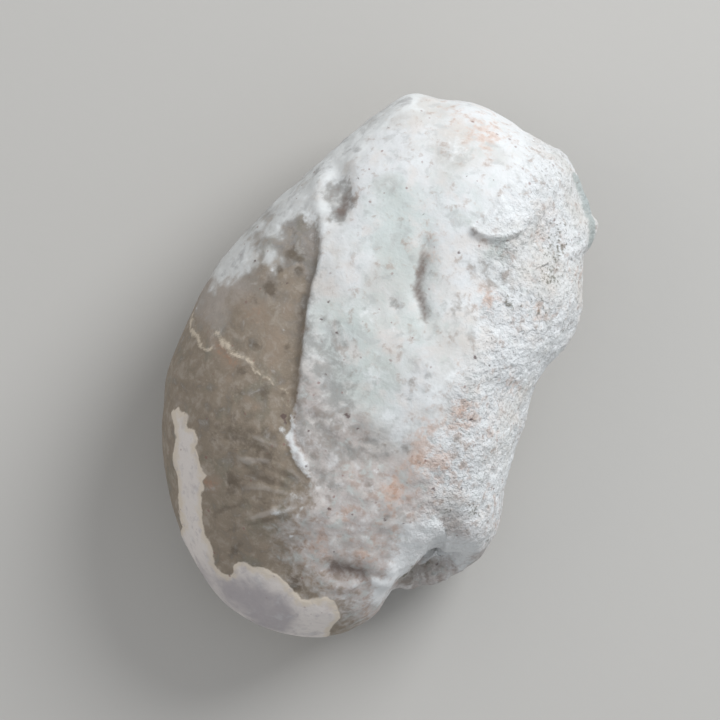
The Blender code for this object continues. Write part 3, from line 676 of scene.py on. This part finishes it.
    # Painted shadow on the back lobe under the front lobe's edge, darkest at the fold.
    lobe = smooth_step(-0.02, 0.15, -fold_away * fold_side) * bell(fold_away, 0.0, LOBE_SHADOW_REACH)
    lobe *= smooth_step(*LOBE_SHADOW_END, y) * smooth_step(*LOBE_SHADOW_LEVELS, points[:, 2])
    return {
        "valve": valve,
        "crust": crust,
        "veil": veil,
        "flank_veil": np.clip(blobs(x, y, FLANK_FILM_AND_LIGHT), 0, 1) * upper,
        "seam": seam * upper,
        "seam_inside": smooth_step(-0.06, 0.06, -seam_away * seam_side) * upper,
        "lip": 0.07 * bell(ledge_away * ledge_side, 0.14, 0.17) * top,
        "ribs": ribs * upper,
        "fan": fan,
        "fan_turn": turned,
        "apex": np.sqrt(apex**2 + (points[:, 2] - 12.5) ** 2),
        "strip": strip * upper,
        "bright": np.clip(bright, 0, 1.2) * upper,
        "blush": np.clip(blobs(x, y, BLUSH), 0, 1.2) * upper,
        "tan": np.clip(blobs(x, y, TAN) + 0.7 * under_seam, 0, 1.2) * upper,
        "gloom": np.clip(blobs(x, y, GLOOM), 0, 1.2) * upper,
        "green": np.clip(blobs(x, y, GREEN), 0, 1.2) * upper,
        # Grey dirt and painted shade: the listed spots, a painted shade band beside the crest's lower part, and the
        # pocket's hollow.
        "dusk": np.clip(blobs(x, y, GREY_DIRT_AND_SHADE) + crest_top + 1.1 * pocket, 0, 1.2) * upper,
        "cluster": np.clip(blobs(x, y, CLUSTER), 0, 1.2) * upper * smooth_step(5.5, 7.6, points[:, 2]),
        "speck": speck * upper,
        "grain": grain * (1 - shell),
        "low": smooth_step(-0.8, -4.5, y + 0.35 * x + 0.8 * smooth_noise(points, 1.8, 309)) * upper,
        # Brown dirt and painted shade in the groove, the slit, the pocket and under the left end of the ledge.
        "groove": upper * (
            1.1 * strokes(wx, wy, (GROOVE, GROOVE[4:]), 0.32, 0.3)
            + 0.9 * strokes(wx, wy, (LEDGE_END,), 0.22, 0.3)
            + strokes(wx, wy, (SLIT,), 0.50)
            + 0.35 * pocket
            + 0.55 * strokes(wx, wy, (POCKET_DIRT_AND_SHADE,), 0.40)
            + 0.35 * strokes(wx, wy, (POCKET_CRACK,), 0.22)
        ),
        "crest_foot": crest_foot(wx, wy) * upper,
        "lobe": lobe * upper,
        "crust_grey": np.clip(blobs(x, y, CRUST_GREY), 0, 1) * upper,
        "fin": smooth_step(-0.25, 0.05, fin_away * -fin_side) * np.exp(-((fin_away / 0.5) ** 2)) * fin_level,
        "shell": shell,
        "top": top,
    }


def scarp(x, y, path, rise, fall, above, below, softness):
    """A step along a path, whose left side stands above its right side. On the high side, rise * e^(-d / above)
    swells towards the edge; on the low side, fall * e^(-d / below) sinks towards it. A smooth step joins them."""
    away, side, place = path_distance(x, y, path)
    signed = away * side
    high = smooth_step(-1.5, 1.0, signed / softness)
    fade = smooth_step(0.0, 0.12, place) * (1 - smooth_step(0.88, 1.0, place))
    swell = rise * np.exp(-np.clip(signed, 0, None) / above) * high
    sink = fall * np.exp(-np.clip(-signed, 0, None) / below) * (1 - high)
    return fade * (swell - sink)


def crest_foot(x, y):
    """1 along the foot of the crest, on the valve's side, fading over about a millimetre: where painted shade lies
    under the crest's step.
    """
    away, side, _ = path_distance(x, y, CREST)
    signed = -away * side
    share = np.interp(y, *CREST_SHARE)
    return share * smooth_step(-0.1, 0.1, signed) * np.exp(-np.clip(signed, 0, None) / 0.75)


def fine_relief(points, normals, marks, form):
    """The height, in millimetres, that is added along the surface's normal: the part's own features with their
    real sharpness, and what is too fine for it."""
    x, y = points[:, 0], points[:, 1]
    top, shell, grain = marks["top"], marks["shell"], marks["grain"]
    crust = smooth_step(-0.09, 0.09, marks["crust"])
    matrix = (1 - shell) * (1 - crust)
    wx = x + 0.06 * rough_noise(points, 0.8, 3, 11)
    wy = y + 0.06 * rough_noise(points, 0.8, 3, 12)

    drop = form.crest_drop / MM * np.interp(y, *CREST_SHARE)
    riblets = np.cos(2.3 * form.rib_count * marks["fan_turn"] + 1.5 * smooth_noise(points, 1.6, 14))
    features = (
        scarp(wx, wy, CREST, 0.22 * drop, drop, 0.5, CREST_REACH, np.interp(y, *CREST_SOFTNESS))
        + scarp(wx, wy, FOLD, 0.34, 0.45, 1.5, 1.3, 0.12)
        - 0.28 * strokes(wx, wy, (POCKET,), 0.75, 0.3)
        + 0.12 * strokes(wx, wy, (POCKET_RIDGE,), 0.45, 0.3)
        - 0.20 * strokes(wx, wy, (GROOVE,), 0.55)
        - 0.10 * strokes(wx, wy, (GROOVE,), 0.32, 0.05)
        - 0.26 * strokes(wx, wy, (SLIT,), 0.60)
        - 0.12 * strokes(wx, wy, (SLIT,), 0.30)
        + 0.16 * strokes(wx, wy, (SLIT_LIP,), 0.30, 0.3)
        + scarp(wx, wy, LEDGE, form.ledge_rise / MM, 0.13, LEDGE_REACH, 0.5, 0.14)
        + marks["lip"]
        + form.rib_height / MM * (marks["ribs"] + 0.25 * marks["fan"] * riblets)
        + blobs(x, y, LUMPS)
        + 0.10 * marks["strip"]
        + 0.12 * marks["seam_inside"] * np.exp(-np.clip(marks["apex"] - 4.5, 0, None) / 3.0) * shell
        + 0.05 * marks["seam"]
        + 0.03 * marks["bright"] * matrix
    )

    rough = 0.25 + 0.75 * smooth_step(-7.0, 3.0, x)
    off_rim = 0.2 + 0.8 * smooth_step(0.1, 0.7, np.abs(normals[:, 2]))
    swell = np.zeros(len(points))
    for count, (size, height) in enumerate(SWELLS):
        swell += height * smooth_noise(points, size, SEED + count)

    rolling = rough_noise(points, 1.9, 3, 21)
    plates = terraces(rough_noise(points, 2.6, 3, 22), 3.0)
    pit_away, pit_number = scatter_distance(points, 1.15, 23)
    pits = (1 - smooth_step(0.10, 0.34, pit_away)) * smooth_step(0.35, 0.9, pit_number)
    small_away, small_number = scatter_distance(points, 0.55, 24)
    small_pits = (1 - smooth_step(0.12, 0.5, small_away)) * smooth_step(0.3, 0.8, small_number)
    crumbs = smooth_noise(points, 0.42, 25)
    growth = np.cos(2 * np.pi * (marks["apex"] + 0.35 * smooth_noise(points, 3.5, 26)) / 1.15)
    crumbled = np.clip(0.5 * grain + marks["cluster"] + 0.5 * marks["lobe"], 0, 1)
    coarse = np.clip(0.2 + marks["low"] + grain, 0, 1)
    finish = (
        matrix * (0.06 * rolling + coarse * (0.10 * plates + 0.03 * crumbs))
        + grain * form.grain_height / MM * (0.5 * crumbs + 0.6 * smooth_noise(points, 0.3, 27))
        - matrix * (0.15 * coarse + 0.85 * crumbled) * (0.14 * pits + 0.09 * small_pits)
        - 0.08 * marks["cluster"] * matrix
        - 0.05 * marks["dusk"] * matrix
        + matrix * marks["low"] * (0.05 * smooth_noise(points, 0.7, 29) + 0.03 * smooth_noise(points, 0.35, 30))
        + shell * (0.016 * growth * (1 - 0.7 * marks["fan"]) + 0.025 * rolling + 0.010 * crumbs)
        + crust * (0.09 + 0.025 * rolling + 0.012 * crumbs)
        + 0.05 * marks["veil"] * rough_noise(points, 1.1, 3, 28)
    )
    return top * features + rough * off_rim * swell + finish


def worn_flat(height):
    """0 below the table, with a round border."""
    near = np.clip(height + REST_SOFTNESS, 0, 2 * REST_SOFTNESS)
    return np.where(height > REST_SOFTNESS, height, near**2 / (4 * REST_SOFTNESS))


def vertex_normals(mesh):
    normals = np.empty(len(mesh.vertices) * 3)
    mesh.vertex_normals.foreach_get("vector", normals)
    return normals.reshape(-1, 3)


def shape_stone(form):
    """The stone's mesh: sphere, main form, relief along its normals, rest patch, origin under its middle.
    What each point is made of, and where shade and light are painted on it, goes into the mesh as attributes."""
    directions, quads = cube_sphere(form.cells)
    points = body(directions, form.height / MM)
    mesh = bpy.data.meshes.new("stone")
    mesh.from_pydata(points, [], quads)
    normals = vertex_normals(mesh)
    seen = seen_plan(points)
    marks = surface_marks(seen, normals)
    points = points + normals * fine_relief(seen, normals, marks, form)[:, None]
    points[:, 2] = worn_flat(points[:, 2])
    middle = (points.min(axis=0) + points.max(axis=0)) / 2
    points[:, :2] -= middle[:2]
    mesh.vertices.foreach_set("co", (points * MM).ravel())
    mesh.update()
    mesh.shade_smooth()
    marks["worn"] = (1 - smooth_step(0.0, 0.12, points[:, 2])) * (normals[:, 2] < 0)
    for name in STONE_MARKS:
        attribute = mesh.attributes.new(name, "FLOAT", "POINT")
        attribute.data.foreach_set("value", marks[name].astype(np.float32))
    return mesh


STONE_MARKS = (
    "valve", "crust", "veil", "flank_veil", "seam", "ribs", "fan", "bright", "blush", "tan", "gloom", "green", "dusk",
    "cluster", "speck", "grain", "low", "groove", "crest_foot", "crust_grey", "lobe", "fin", "worn",
)


# ---------------------------------------------------------------- materials


def add(tree, kind, out=0, **values):
    """Adds a node and returns one of its outputs. A key in lower case is one of the node's settings. A key with
    a capital is an input's name, with _ for a space, and i with a number is an input's place. A value is another
    node's output, a number or a colour."""
    node = tree.nodes.new("ShaderNode" + kind)
    for name, value in values.items():
        if name[0] == "i" and name[1:].isdigit():
            spot = node.inputs[int(name[1:])]
        elif name[0].isupper():
            spot = node.inputs[name.replace("_", " ")]
        else:
            setattr(node, name, value)
            continue
        if isinstance(value, bpy.types.NodeSocket):
            tree.links.new(value, spot)
        elif spot.type == "RGBA":
            spot.default_value = (*tuple(value)[:3], 1.0)
        else:
            spot.default_value = value
    return node.outputs[out] if node.outputs else None


def new_material(name):
    material = bpy.data.materials.new(name)
    material.use_nodes = True
    material.node_tree.nodes.clear()
    return material, material.node_tree


def paint(tree, base, coats, patterns, marks):
    """Lays thin coats of colour over a base. A coat is (mark, pattern, grit, low, high, strength, colour): it
    covers where mark + grit * (pattern - 0.5) passes from low to high, so a greater grit breaks its edge up."""
    for mark, pattern, grit, low, high, strength, colour in coats:
        value = add(
            tree, "Math", operation="MULTIPLY_ADD", i0=patterns[pattern], i1=grit, i2=marks[mark] if mark else 0.5
        )
        cover = add(
            tree, "MapRange", interpolation_type="SMOOTHSTEP", Value=value, From_Min=low + grit / 2,
            From_Max=high + grit / 2, To_Max=strength,
        )
        base = add(tree, "Mix", 2, data_type="RGBA", i0=cover, i6=base, i7=colour)
    return base


def fossil_limestone(colours):
    """Chalky limestone matrix, weathered: crumbled and washed out of its bed, so it is matt, with a fine sandy
    grain of about 0.2 mm, iron stains and dark grains. The bare valve is recrystallised calcite shell, smoother,
    brown and thinly veiled with chalk. A hard chalk crust covers its lower edge. Some coats are painted shade
    and painted highlight: in hollows, under the crest's step and the front lobe, and along edges that face the light."""
    material, tree = new_material("fossil_limestone")
    place = add(tree, "TexCoord", 3)
    place = add(tree, "VectorMath", operation="SCALE", i0=place, Scale=1 / MM)
    drawn = add(tree, "VectorMath", operation="MULTIPLY", i0=place, i1=(0.6, 1.2, 1.2))
    marks = {name: add(tree, "Attribute", 2, attribute_name=name) for name in STONE_MARKS}
    # Real sizes in mm. The finest grain is under 0.1 mm and is drawn at 0.15 mm so that it shows.
    patterns = {}
    for name, source, size, detail, warp in (
        (4.5, place, 4.5, 3.0, 0.0), (1.8, place, 1.8, 4.0, 0.3),
        (0.9, place, 0.9, 5.0, 0.4), (0.6, place, 0.6, 4.0, 0.2),
        (0.35, place, 0.35, 3.0, 0.0), (0.15, place, 0.15, 2.0, 0.0), ("drawn", drawn, 0.7, 4.0, 0.3),
        ("sand", place, 0.24, 3.0, 0.2),
    ):
        noise = add(tree, "TexNoise", Vector=source, Scale=1 / size, Detail=detail, Roughness=0.6, Distortion=warp)
        patterns[name] = add(tree, "MapRange", Value=noise, From_Min=0.30, From_Max=0.70)

    # matrix: pale chalk, greener and pinker in clouds, duller and blotched below, with painted shade in hollows, in
    # pits and on the back lobe under the fold
    matrix = paint(tree, colours.matrix, (
        (None, 4.5, 1.0, 0.35, 0.85, 0.8, colours.matrix_shade),
        ("green", 1.8, 0.7, 0.15, 0.85, 0.65, colours.matrix_green),
        ("low", 1.8, 0.8, 0.10, 1.00, 0.85, colours.matrix_low),
        (None, "drawn", 1.0, 0.60, 0.95, 0.25, colours.matrix_shade),
        (None, "drawn", -1.0, 0.55, 1.00, 0.22, colours.white),
        (None, 0.9, 1.0, 0.58, 1.00, 0.38, colours.dusk),
        (None, 0.6, -1.0, 0.65, 1.00, 0.25, colours.matrix_green),
        (None, 1.8, -1.0, 0.50, 0.95, 0.35, colours.matrix_warm),
        ("low", 0.9, 1.2, 1.00, 1.50, 0.40, colours.matrix_green),
        ("low", 0.6, 1.2, 0.95, 1.50, 0.50, colours.blush_dark),
        ("low", 0.35, 1.4, 1.20, 1.65, 0.45, colours.dusk),
        ("low", 0.9, -1.3, 1.00, 1.65, 0.38, colours.white),
        ("blush", 0.6, 1.5, 0.20, 1.20, 0.60, colours.blush),
        ("blush", 0.35, 1.1, 0.85, 1.35, 0.50, colours.rust),
        # grey dirt and painted shade in hollows and beside the crest
        ("dusk", 0.6, 1.3, 0.10, 1.20, 0.72, colours.dusk),
        ("grain", "sand", 1.2, 1.10, 1.60, 0.60, colours.dusk),
        ("grain", 0.6, 1.2, 1.15, 1.60, 0.35, colours.matrix_low),
        ("grain", "sand", -1.1, 1.15, 1.50, 0.40, colours.white),
        # painted shadow on the back lobe under the fold's edge, with olive grains in it
        ("lobe", 0.6, 0.6, 0.25, 0.95, 0.60, colours.lobe),
        ("lobe", "sand", 1.2, 0.95, 1.40, 0.60, colours.speck_olive),
        # dark olive grains and painted shade in pits
        ("cluster", "sand", 1.3, 0.70, 1.25, 0.70, colours.speck_olive),
        # brown dirt and painted shade in grooves, the slit, the pocket and under the ledge
        ("groove", 0.6, 0.5, 0.10, 1.20, 0.80, colours.groove),
        ("fin", 0.6, 0.4, 0.25, 0.80, 0.75, colours.fin),
    ), patterns, marks)

    # bare valve: brown below, greyer above, warm stains, dark and pale lines of ribs, painted shade at the crest's
    # foot and painted light on the flank beside it
    upper_valve = add(tree, "SeparateXYZ", 1, Vector=place)
    marks["upper_valve"] = add(tree, "MapRange", Value=upper_valve, From_Min=-5.0, From_Max=7.0)
    shell = paint(tree, colours.shell, (
        ("upper_valve", 1.8, 0.8, 0.15, 0.95, 0.9, colours.shell_grey),
        (None, 1.8, 1.0, 0.50, 0.90, 0.65, colours.shell_green),
        (None, "drawn", 1.0, 0.50, 0.95, 0.30, colours.tan),
        (None, 0.9, 1.0, 0.50, 0.90, 0.55, colours.shell_dark),
        (None, 0.9, -1.0, 0.50, 0.95, 0.55, colours.shell_pale),
        (None, 0.35, -1.0, 0.60, 1.00, 0.25, colours.shell_pale),
        ("tan", 0.9, 0.7, 0.15, 0.95, 0.75, colours.tan),
        ("tan", 0.35, 0.9, 0.95, 1.45, 0.45, colours.rust),
        # thin film on the left flank, and painted light at the crest's foot
        ("flank_veil", 1.8, 0.9, 0.10, 1.20, 0.65, colours.veil_thin),
        ("gloom", 0.6, 0.7, 0.15, 0.90, 0.85, colours.shell_dark),
        # painted shade along the foot of the crest's step
        ("crest_foot", 0.9, 0.4, 0.15, 0.90, 0.30, colours.shell_dark),
        # dark rib lines with painted shade between ribs, pale rib lines with painted highlight
        ("ribs", 0.6, -0.7, -0.15, -1.10, 0.60, colours.shell_dark),
        ("ribs", 0.6, 0.7, 0.15, 1.10, 0.24, colours.crust),
        ("fan", "drawn", 1.0, 1.00, 1.50, 0.35, colours.shell_dark),
    ), patterns, marks)

    # chalk crust, with a cream border and violet-grey clouds
    crust = paint(tree, colours.crust, (
        (None, 1.8, 1.0, 0.55, 0.95, 0.35, colours.crust_shade),
        ("crust_grey", 1.8, 0.6, 0.10, 1.00, 0.85, colours.crust_shade),
        ("crust", 0.6, 0.3, 0.45, 0.10, 0.75, colours.cream),
        ("blush", 0.9, 0.7, 0.30, 1.00, 0.40, colours.blush),
        (None, 0.6, 1.0, 0.60, 1.00, 0.35, colours.crust_shade),
    ), patterns, marks)

    base = matrix
    for name, grit, low, high, colour in (("valve", 1.4, -1.0, 1.0, shell), ("crust", 0.12, -0.05, 0.05, crust)):
        value = add(tree, "Math", operation="MULTIPLY_ADD", i0=patterns[0.6], i1=grit, i2=marks[name])
        cover = add(
            tree, "MapRange", interpolation_type="SMOOTHSTEP", Value=value, From_Min=low + grit / 2,
            From_Max=high + grit / 2,
        )
        base = add(tree, "Mix", 2, data_type="RGBA", i0=cover, i6=base, i7=colour)

    # films, lines and grains that lie over all three, and painted highlights along edges that face the light
    away_from_dot = add(tree, "TexVoronoi", 0, Vector=place, Scale=1 / DOT_SPACING)
    dot_colour = add(tree, "TexVoronoi", 1, Vector=place, Scale=1 / DOT_SPACING)
    chance = add(tree, "SeparateColor", Color=dot_colour)
    reach = add(tree, "Math", operation="MULTIPLY_ADD", i0=chance, i1=DOT_GROWTH, i2=DOT_LEAST)
    marks["dots"] = add(
        tree, "MapRange", Value=away_from_dot, From_Min=0.0, From_Max=reach, To_Min=1.0, To_Max=0.0
    )
    base = paint(tree, base, (
        ("veil", 0.9, 0.7, 0.05, 0.95, 0.80, colours.veil),
        ("veil", 1.8, 1.1, 1.00, 1.45, 0.60, colours.veil_shade),
        ("veil", 0.6, -1.2, 1.10, 1.55, 0.55, colours.white),
        # cream broken edge of the shell layer, partly painted highlight
        ("seam", 0.35, 0.9, 0.25, 1.05, 0.75, colours.cream),
        # white chalk and painted highlights along lit edges, and painted light on shaded slopes
        ("bright", 0.35, 0.6, 0.30, 1.10, 0.80, colours.white),
        ("dots", 0.35, 0.7, 0.40, 0.90, 0.60, colours.speck_red),
        ("speck", 0.35, 0.6, 0.40, 0.75, 0.75, colours.speck_dark),
        ("worn", 0.9, 0.4, 0.20, 0.80, 0.40, colours.matrix),
    ), patterns, marks)

    sanded = add(tree, "Math", operation="MULTIPLY", i0=patterns["sand"], i1=marks["grain"])
    height = add(tree, "Math", operation="MULTIPLY", i0=sanded, i1=0.08)
    for size, share in ((0.15, 0.003), (0.35, 0.010), (0.6, 0.014)):
        height = add(tree, "Math", operation="MULTIPLY_ADD", i0=patterns[size], i1=share, i2=height)
    bump = add(tree, "Bump", Strength=1.0, Distance=MM, Height=height)
    rough = add(tree, "MapRange", Value=marks["valve"], From_Min=-1.0, From_Max=1.0, To_Min=0.92, To_Max=0.70)
    shader = add(
        tree, "BsdfPrincipled", Base_Color=base, Roughness=rough, Normal=bump, IOR=1.5, Specular_IOR_Level=0.35,
        Sheen_Weight=0.03, Sheen_Roughness=0.6,
    )
    add(tree, "OutputMaterial", Surface=shader)
    return material


def studio_paper(colour):
    """Matt paper sweep: pressed and uncoated, so it shows no gloss."""
    material, tree = new_material("studio_paper")
    place = add(tree, "TexCoord", 3)
    fibre = add(tree, "TexNoise", Vector=place, Scale=900.0, Detail=3.0)
    bump = add(tree, "Bump", Strength=0.15, Distance=0.00005, Height=fibre)
    shader = add(tree, "BsdfPrincipled", Base_Color=colour, Roughness=0.95, Normal=bump)
    add(tree, "OutputMaterial", Surface=shader)
    return material


# ---------------------------------------------------------------- settings


class FossilForm(bpy.types.PropertyGroup):
    """Sizes of the stone and its features."""

    height: FloatProperty(
        name="Height", description="Summit of the main form above the table", default=0.0152, min=0.005,
        precision=5, unit="LENGTH",
    )
    crest_drop: FloatProperty(
        name="Crest drop", description="Step from the matrix down to the valve", default=0.00072, min=0.0,
        precision=5, unit="LENGTH",
    )
    ledge_rise: FloatProperty(
        name="Ledge rise", description="Height of the crown's small lip", default=0.00034, min=0.0,
        precision=5, unit="LENGTH",
    )
    rib_height: FloatProperty(
        name="Rib height", description="Height of the valve's ribs", default=0.00004, min=0.0,
        precision=5, unit="LENGTH",
    )
    rib_count: IntProperty(name="Ribs", description="Ribs in a full turn", default=15, min=3, max=40)
    grain_height: FloatProperty(
        name="Grain height", description="Height of the sandy grain", default=0.00007, min=0.0,
        precision=6, unit="LENGTH",
    )
    cells: IntProperty(
        name="Cells", description="Squares along each edge of the mesh's six grids", default=128, min=16, max=128
    )


class FossilColours(bpy.types.PropertyGroup):
    """Colours of the stone."""

    matrix: tint("Matrix", "#dadcdd", "Pale chalky matrix")
    matrix_shade: tint("Matrix shade", "#cbc9c5", "Slightly darker clouds in the matrix")
    matrix_green: tint("Matrix green", "#bfc9c5", "Greenish clouds in the matrix")
    matrix_warm: tint("Matrix warm", "#d6cbc2", "Warm clouds in the matrix")
    matrix_low: tint("Low matrix", "#b4aaa5", "Duller matrix of the lower half")
    # White is also the colour of the painted highlights.
    white: tint("White", "#e8ebec", "Fresh chalk")
    blush: tint("Blush", "#d0b19f", "Pink and orange iron stain")
    blush_dark: tint("Dark blush", "#a48b7f", "Pinkish brown blotches")
    rust: tint("Rust", "#a9826a", "Rust in the middle of stains")
    # Grey of dirt in hollows, also used for painted shade.
    dusk: tint("Dusk", "#90908d", "Grey dirt in hollows")
    # The lobe colour is painted shadow on the back lobe, under the front lobe's edge.
    lobe: tint("Lobe", "#8f8a82", "Grey-brown back lobe beside the fold")
    # Groove brown is also painted shade in recesses.
    groove: tint("Groove", "#6e5f57", "Brown dirt in grooves")
    fin: tint("Fin", "#9ba4a2", "Thin grey-green flake at the shoulder")
    shell: tint("Shell", "#8e8273", "Brown bare valve")
    shell_grey: tint("Shell grey", "#949290", "Upper part of the valve")
    # Shell dark also paints the shade at the crest's foot and in the dark rib lines.
    shell_dark: tint("Shell dark", "#665b4e", "Dark lines and stains on the valve")
    shell_green: tint("Shell green", "#7c7869", "Olive clouds on the valve")
    shell_pale: tint("Pale shell", "#ada398", "Paler clouds on the valve")
    tan: tint("Tan", "#988878", "Warm stains on the valve")
    veil: tint("Veil", "#e2e5e5", "Chalk film on the upper flank")
    veil_shade: tint("Veil shade", "#a09f9f", "Thin places of the chalk film")
    # Thin veil also paints the light at the crest's foot, where the valve lies in shade.
    veil_thin: tint("Thin veil", "#afa69f", "Thin pinkish film on the left flank")
    # Crust's colour also paints the pale rib lines and their painted highlight.
    crust: tint("Crust", "#e0d9d4", "Hard chalk crust")
    crust_shade: tint("Crust shade", "#a7a1a4", "Violet-grey parts of the crust")
    # Cream also paints the highlight along the seam's edge.
    cream: tint("Cream", "#d8cbb8", "Broken edges of shell and crust")
    speck_dark: tint("Dark grain", "#5b4847", "Dark grains")
    speck_red: tint("Red grain", "#84605a", "Small red-brown grains")
    # Olive grain also paints the shade in pits and on the back lobe.
    speck_olive: tint("Olive grain", "#6d6a5d", "Dark grains that fill hollows")


class StageLook(bpy.types.PropertyGroup):
    """Floor, lights and camera."""

    floor: tint("Floor", "#bdbbb7", "Plain pale paper")
    key_power: FloatProperty(name="Key power", description="Main soft light", default=0.66, min=0, unit="POWER")
    fill_power: FloatProperty(
        name="Fill power", description="Weak light from the other side", default=0.10, min=0, unit="POWER"
    )
    sky: FloatProperty(name="Surroundings", description="Brightness of the pale room", default=0.57, min=0)
    lens: FloatProperty(name="Lens", description="Focal length in millimetres", default=240.0, min=20.0)
    view_width: FloatProperty(
        name="View width", description="Width that the camera sees at the stone's widest line", default=0.045,
        min=0.01, precision=4, unit="LENGTH",
    )
    lean: FloatProperty(
        name="Lean", description="How far the stone leans clockwise in the view", default=math.radians(28.0),
        subtype="ANGLE",
    )


# ---------------------------------------------------------------- operators


class FOSSIL_OT_stone(bpy.types.Operator):
    """Builds the stone: one closed surface with its valve, matrix, crest, ribs, ledge, crust and grain."""

    bl_idname = "fossil.build_stone"
    bl_label = "Build the stone"

    def execute(self, context):
        settings = context.scene
        mesh = shape_stone(settings.fossil_form)
        mesh.materials.append(fossil_limestone(settings.fossil_colours))
        stone = bpy.data.objects.new("stone", mesh)
        context.scene.collection.objects.link(stone)
        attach(stone, "root")
        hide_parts("brachiopod_fossil")
        return {"FINISHED"}


def area_light(name, place, target, size, power, colour):
    light = bpy.data.lights.new(name, "AREA")
    light.shape = "DISK"
    light.size = size
    light.energy = power
    light.color = colour
    lamp = bpy.data.objects.new(name, light)
    lamp.location = place
    lamp.rotation_mode = "QUATERNION"
    lamp.rotation_quaternion = (Vector(target) - Vector(place)).to_track_quat("-Z", "Y")
    bpy.context.scene.collection.objects.link(lamp)


class FOSSIL_OT_stage(bpy.types.Operator):
    """Builds the stage: a plain pale floor, soft studio light from the crown's side, and the camera above."""

    bl_idname = "fossil.build_stage"
    bl_label = "Build the stage"

    def execute(self, context):
        scene = context.scene
        look = scene.fossil_stage
        half = 1.5
        corners = [(-half, -half, 0), (half, -half, 0), (half, half, 0), (-half, half, 0)]
        sheet = bpy.data.meshes.new("floor")
        sheet.from_pydata(corners, [], [(0, 1, 2, 3)])
        sheet.materials.append(studio_paper(look.floor))
        floor = bpy.data.objects.new("floor", sheet)
        scene.collection.objects.link(floor)

        world = bpy.data.worlds.new("pale_room")
        world.use_nodes = True
        surroundings = world.node_tree.nodes["Background"]
        surroundings.inputs["Color"].default_value = (*linear("#eef1f5"), 1.0)
        surroundings.inputs["Strength"].default_value = look.sky
        scene.world = world
        middle = (0, 0, 0.008)
        area_light("key", (0.07, 0.21, 0.17), middle, 0.16, look.key_power, linear("#fbfdff"))
        area_light("fill", (-0.22, -0.08, 0.20), middle, 0.25, look.fill_power, linear("#fff6ec"))

        camera = bpy.data.cameras.new("camera")
        camera.lens = look.lens
        camera.sensor_width = 36.0
        camera.clip_start = 0.01
        viewer = bpy.data.objects.new("camera", camera)
        rise = look.lens / camera.sensor_width * look.view_width
        viewer.location = (CAMERA_PLAN[0] * MM, CAMERA_PLAN[1] * MM, CAMERA_LEVEL * MM + rise)
        viewer.rotation_euler = (0, 0, look.lean)
        scene.collection.objects.link(viewer)
        scene.camera = viewer
        scene.view_settings.view_transform = "Standard"
        return {"FINISHED"}


class FOSSIL_PT_panel(bpy.types.Panel):
    """Lists the fossil's operators and settings."""

    bl_idname = "FOSSIL_PT_panel"
    bl_label = "Brachiopod fossil"
    bl_space_type = "VIEW_3D"
    bl_region_type = "UI"
    bl_category = "Fossil"

    def draw(self, context):
        scene = context.scene
        column = self.layout.column()
        column.operator(FOSSIL_OT_stone.bl_idname)
        column.operator(FOSSIL_OT_stage.bl_idname)
        for settings in (scene.fossil_form, scene.fossil_colours, scene.fossil_stage):
            for name in settings.__annotations__:
                column.prop(settings, name)


CLASSES = (FossilForm, FossilColours, StageLook, FOSSIL_OT_stone, FOSSIL_OT_stage, FOSSIL_PT_panel)


def register():
    for kind in CLASSES:
        bpy.utils.register_class(kind)
    bpy.types.Scene.fossil_form = PointerProperty(type=FossilForm)
    bpy.types.Scene.fossil_colours = PointerProperty(type=FossilColours)
    bpy.types.Scene.fossil_stage = PointerProperty(type=StageLook)


def unregister():
    del bpy.types.Scene.fossil_form
    del bpy.types.Scene.fossil_colours
    del bpy.types.Scene.fossil_stage
    for kind in reversed(CLASSES):
        bpy.utils.unregister_class(kind)


def main():
    register()
    bpy.ops.fossil.build_stone()
    bpy.ops.fossil.build_stage()


if __name__ == "__main__":
    main()
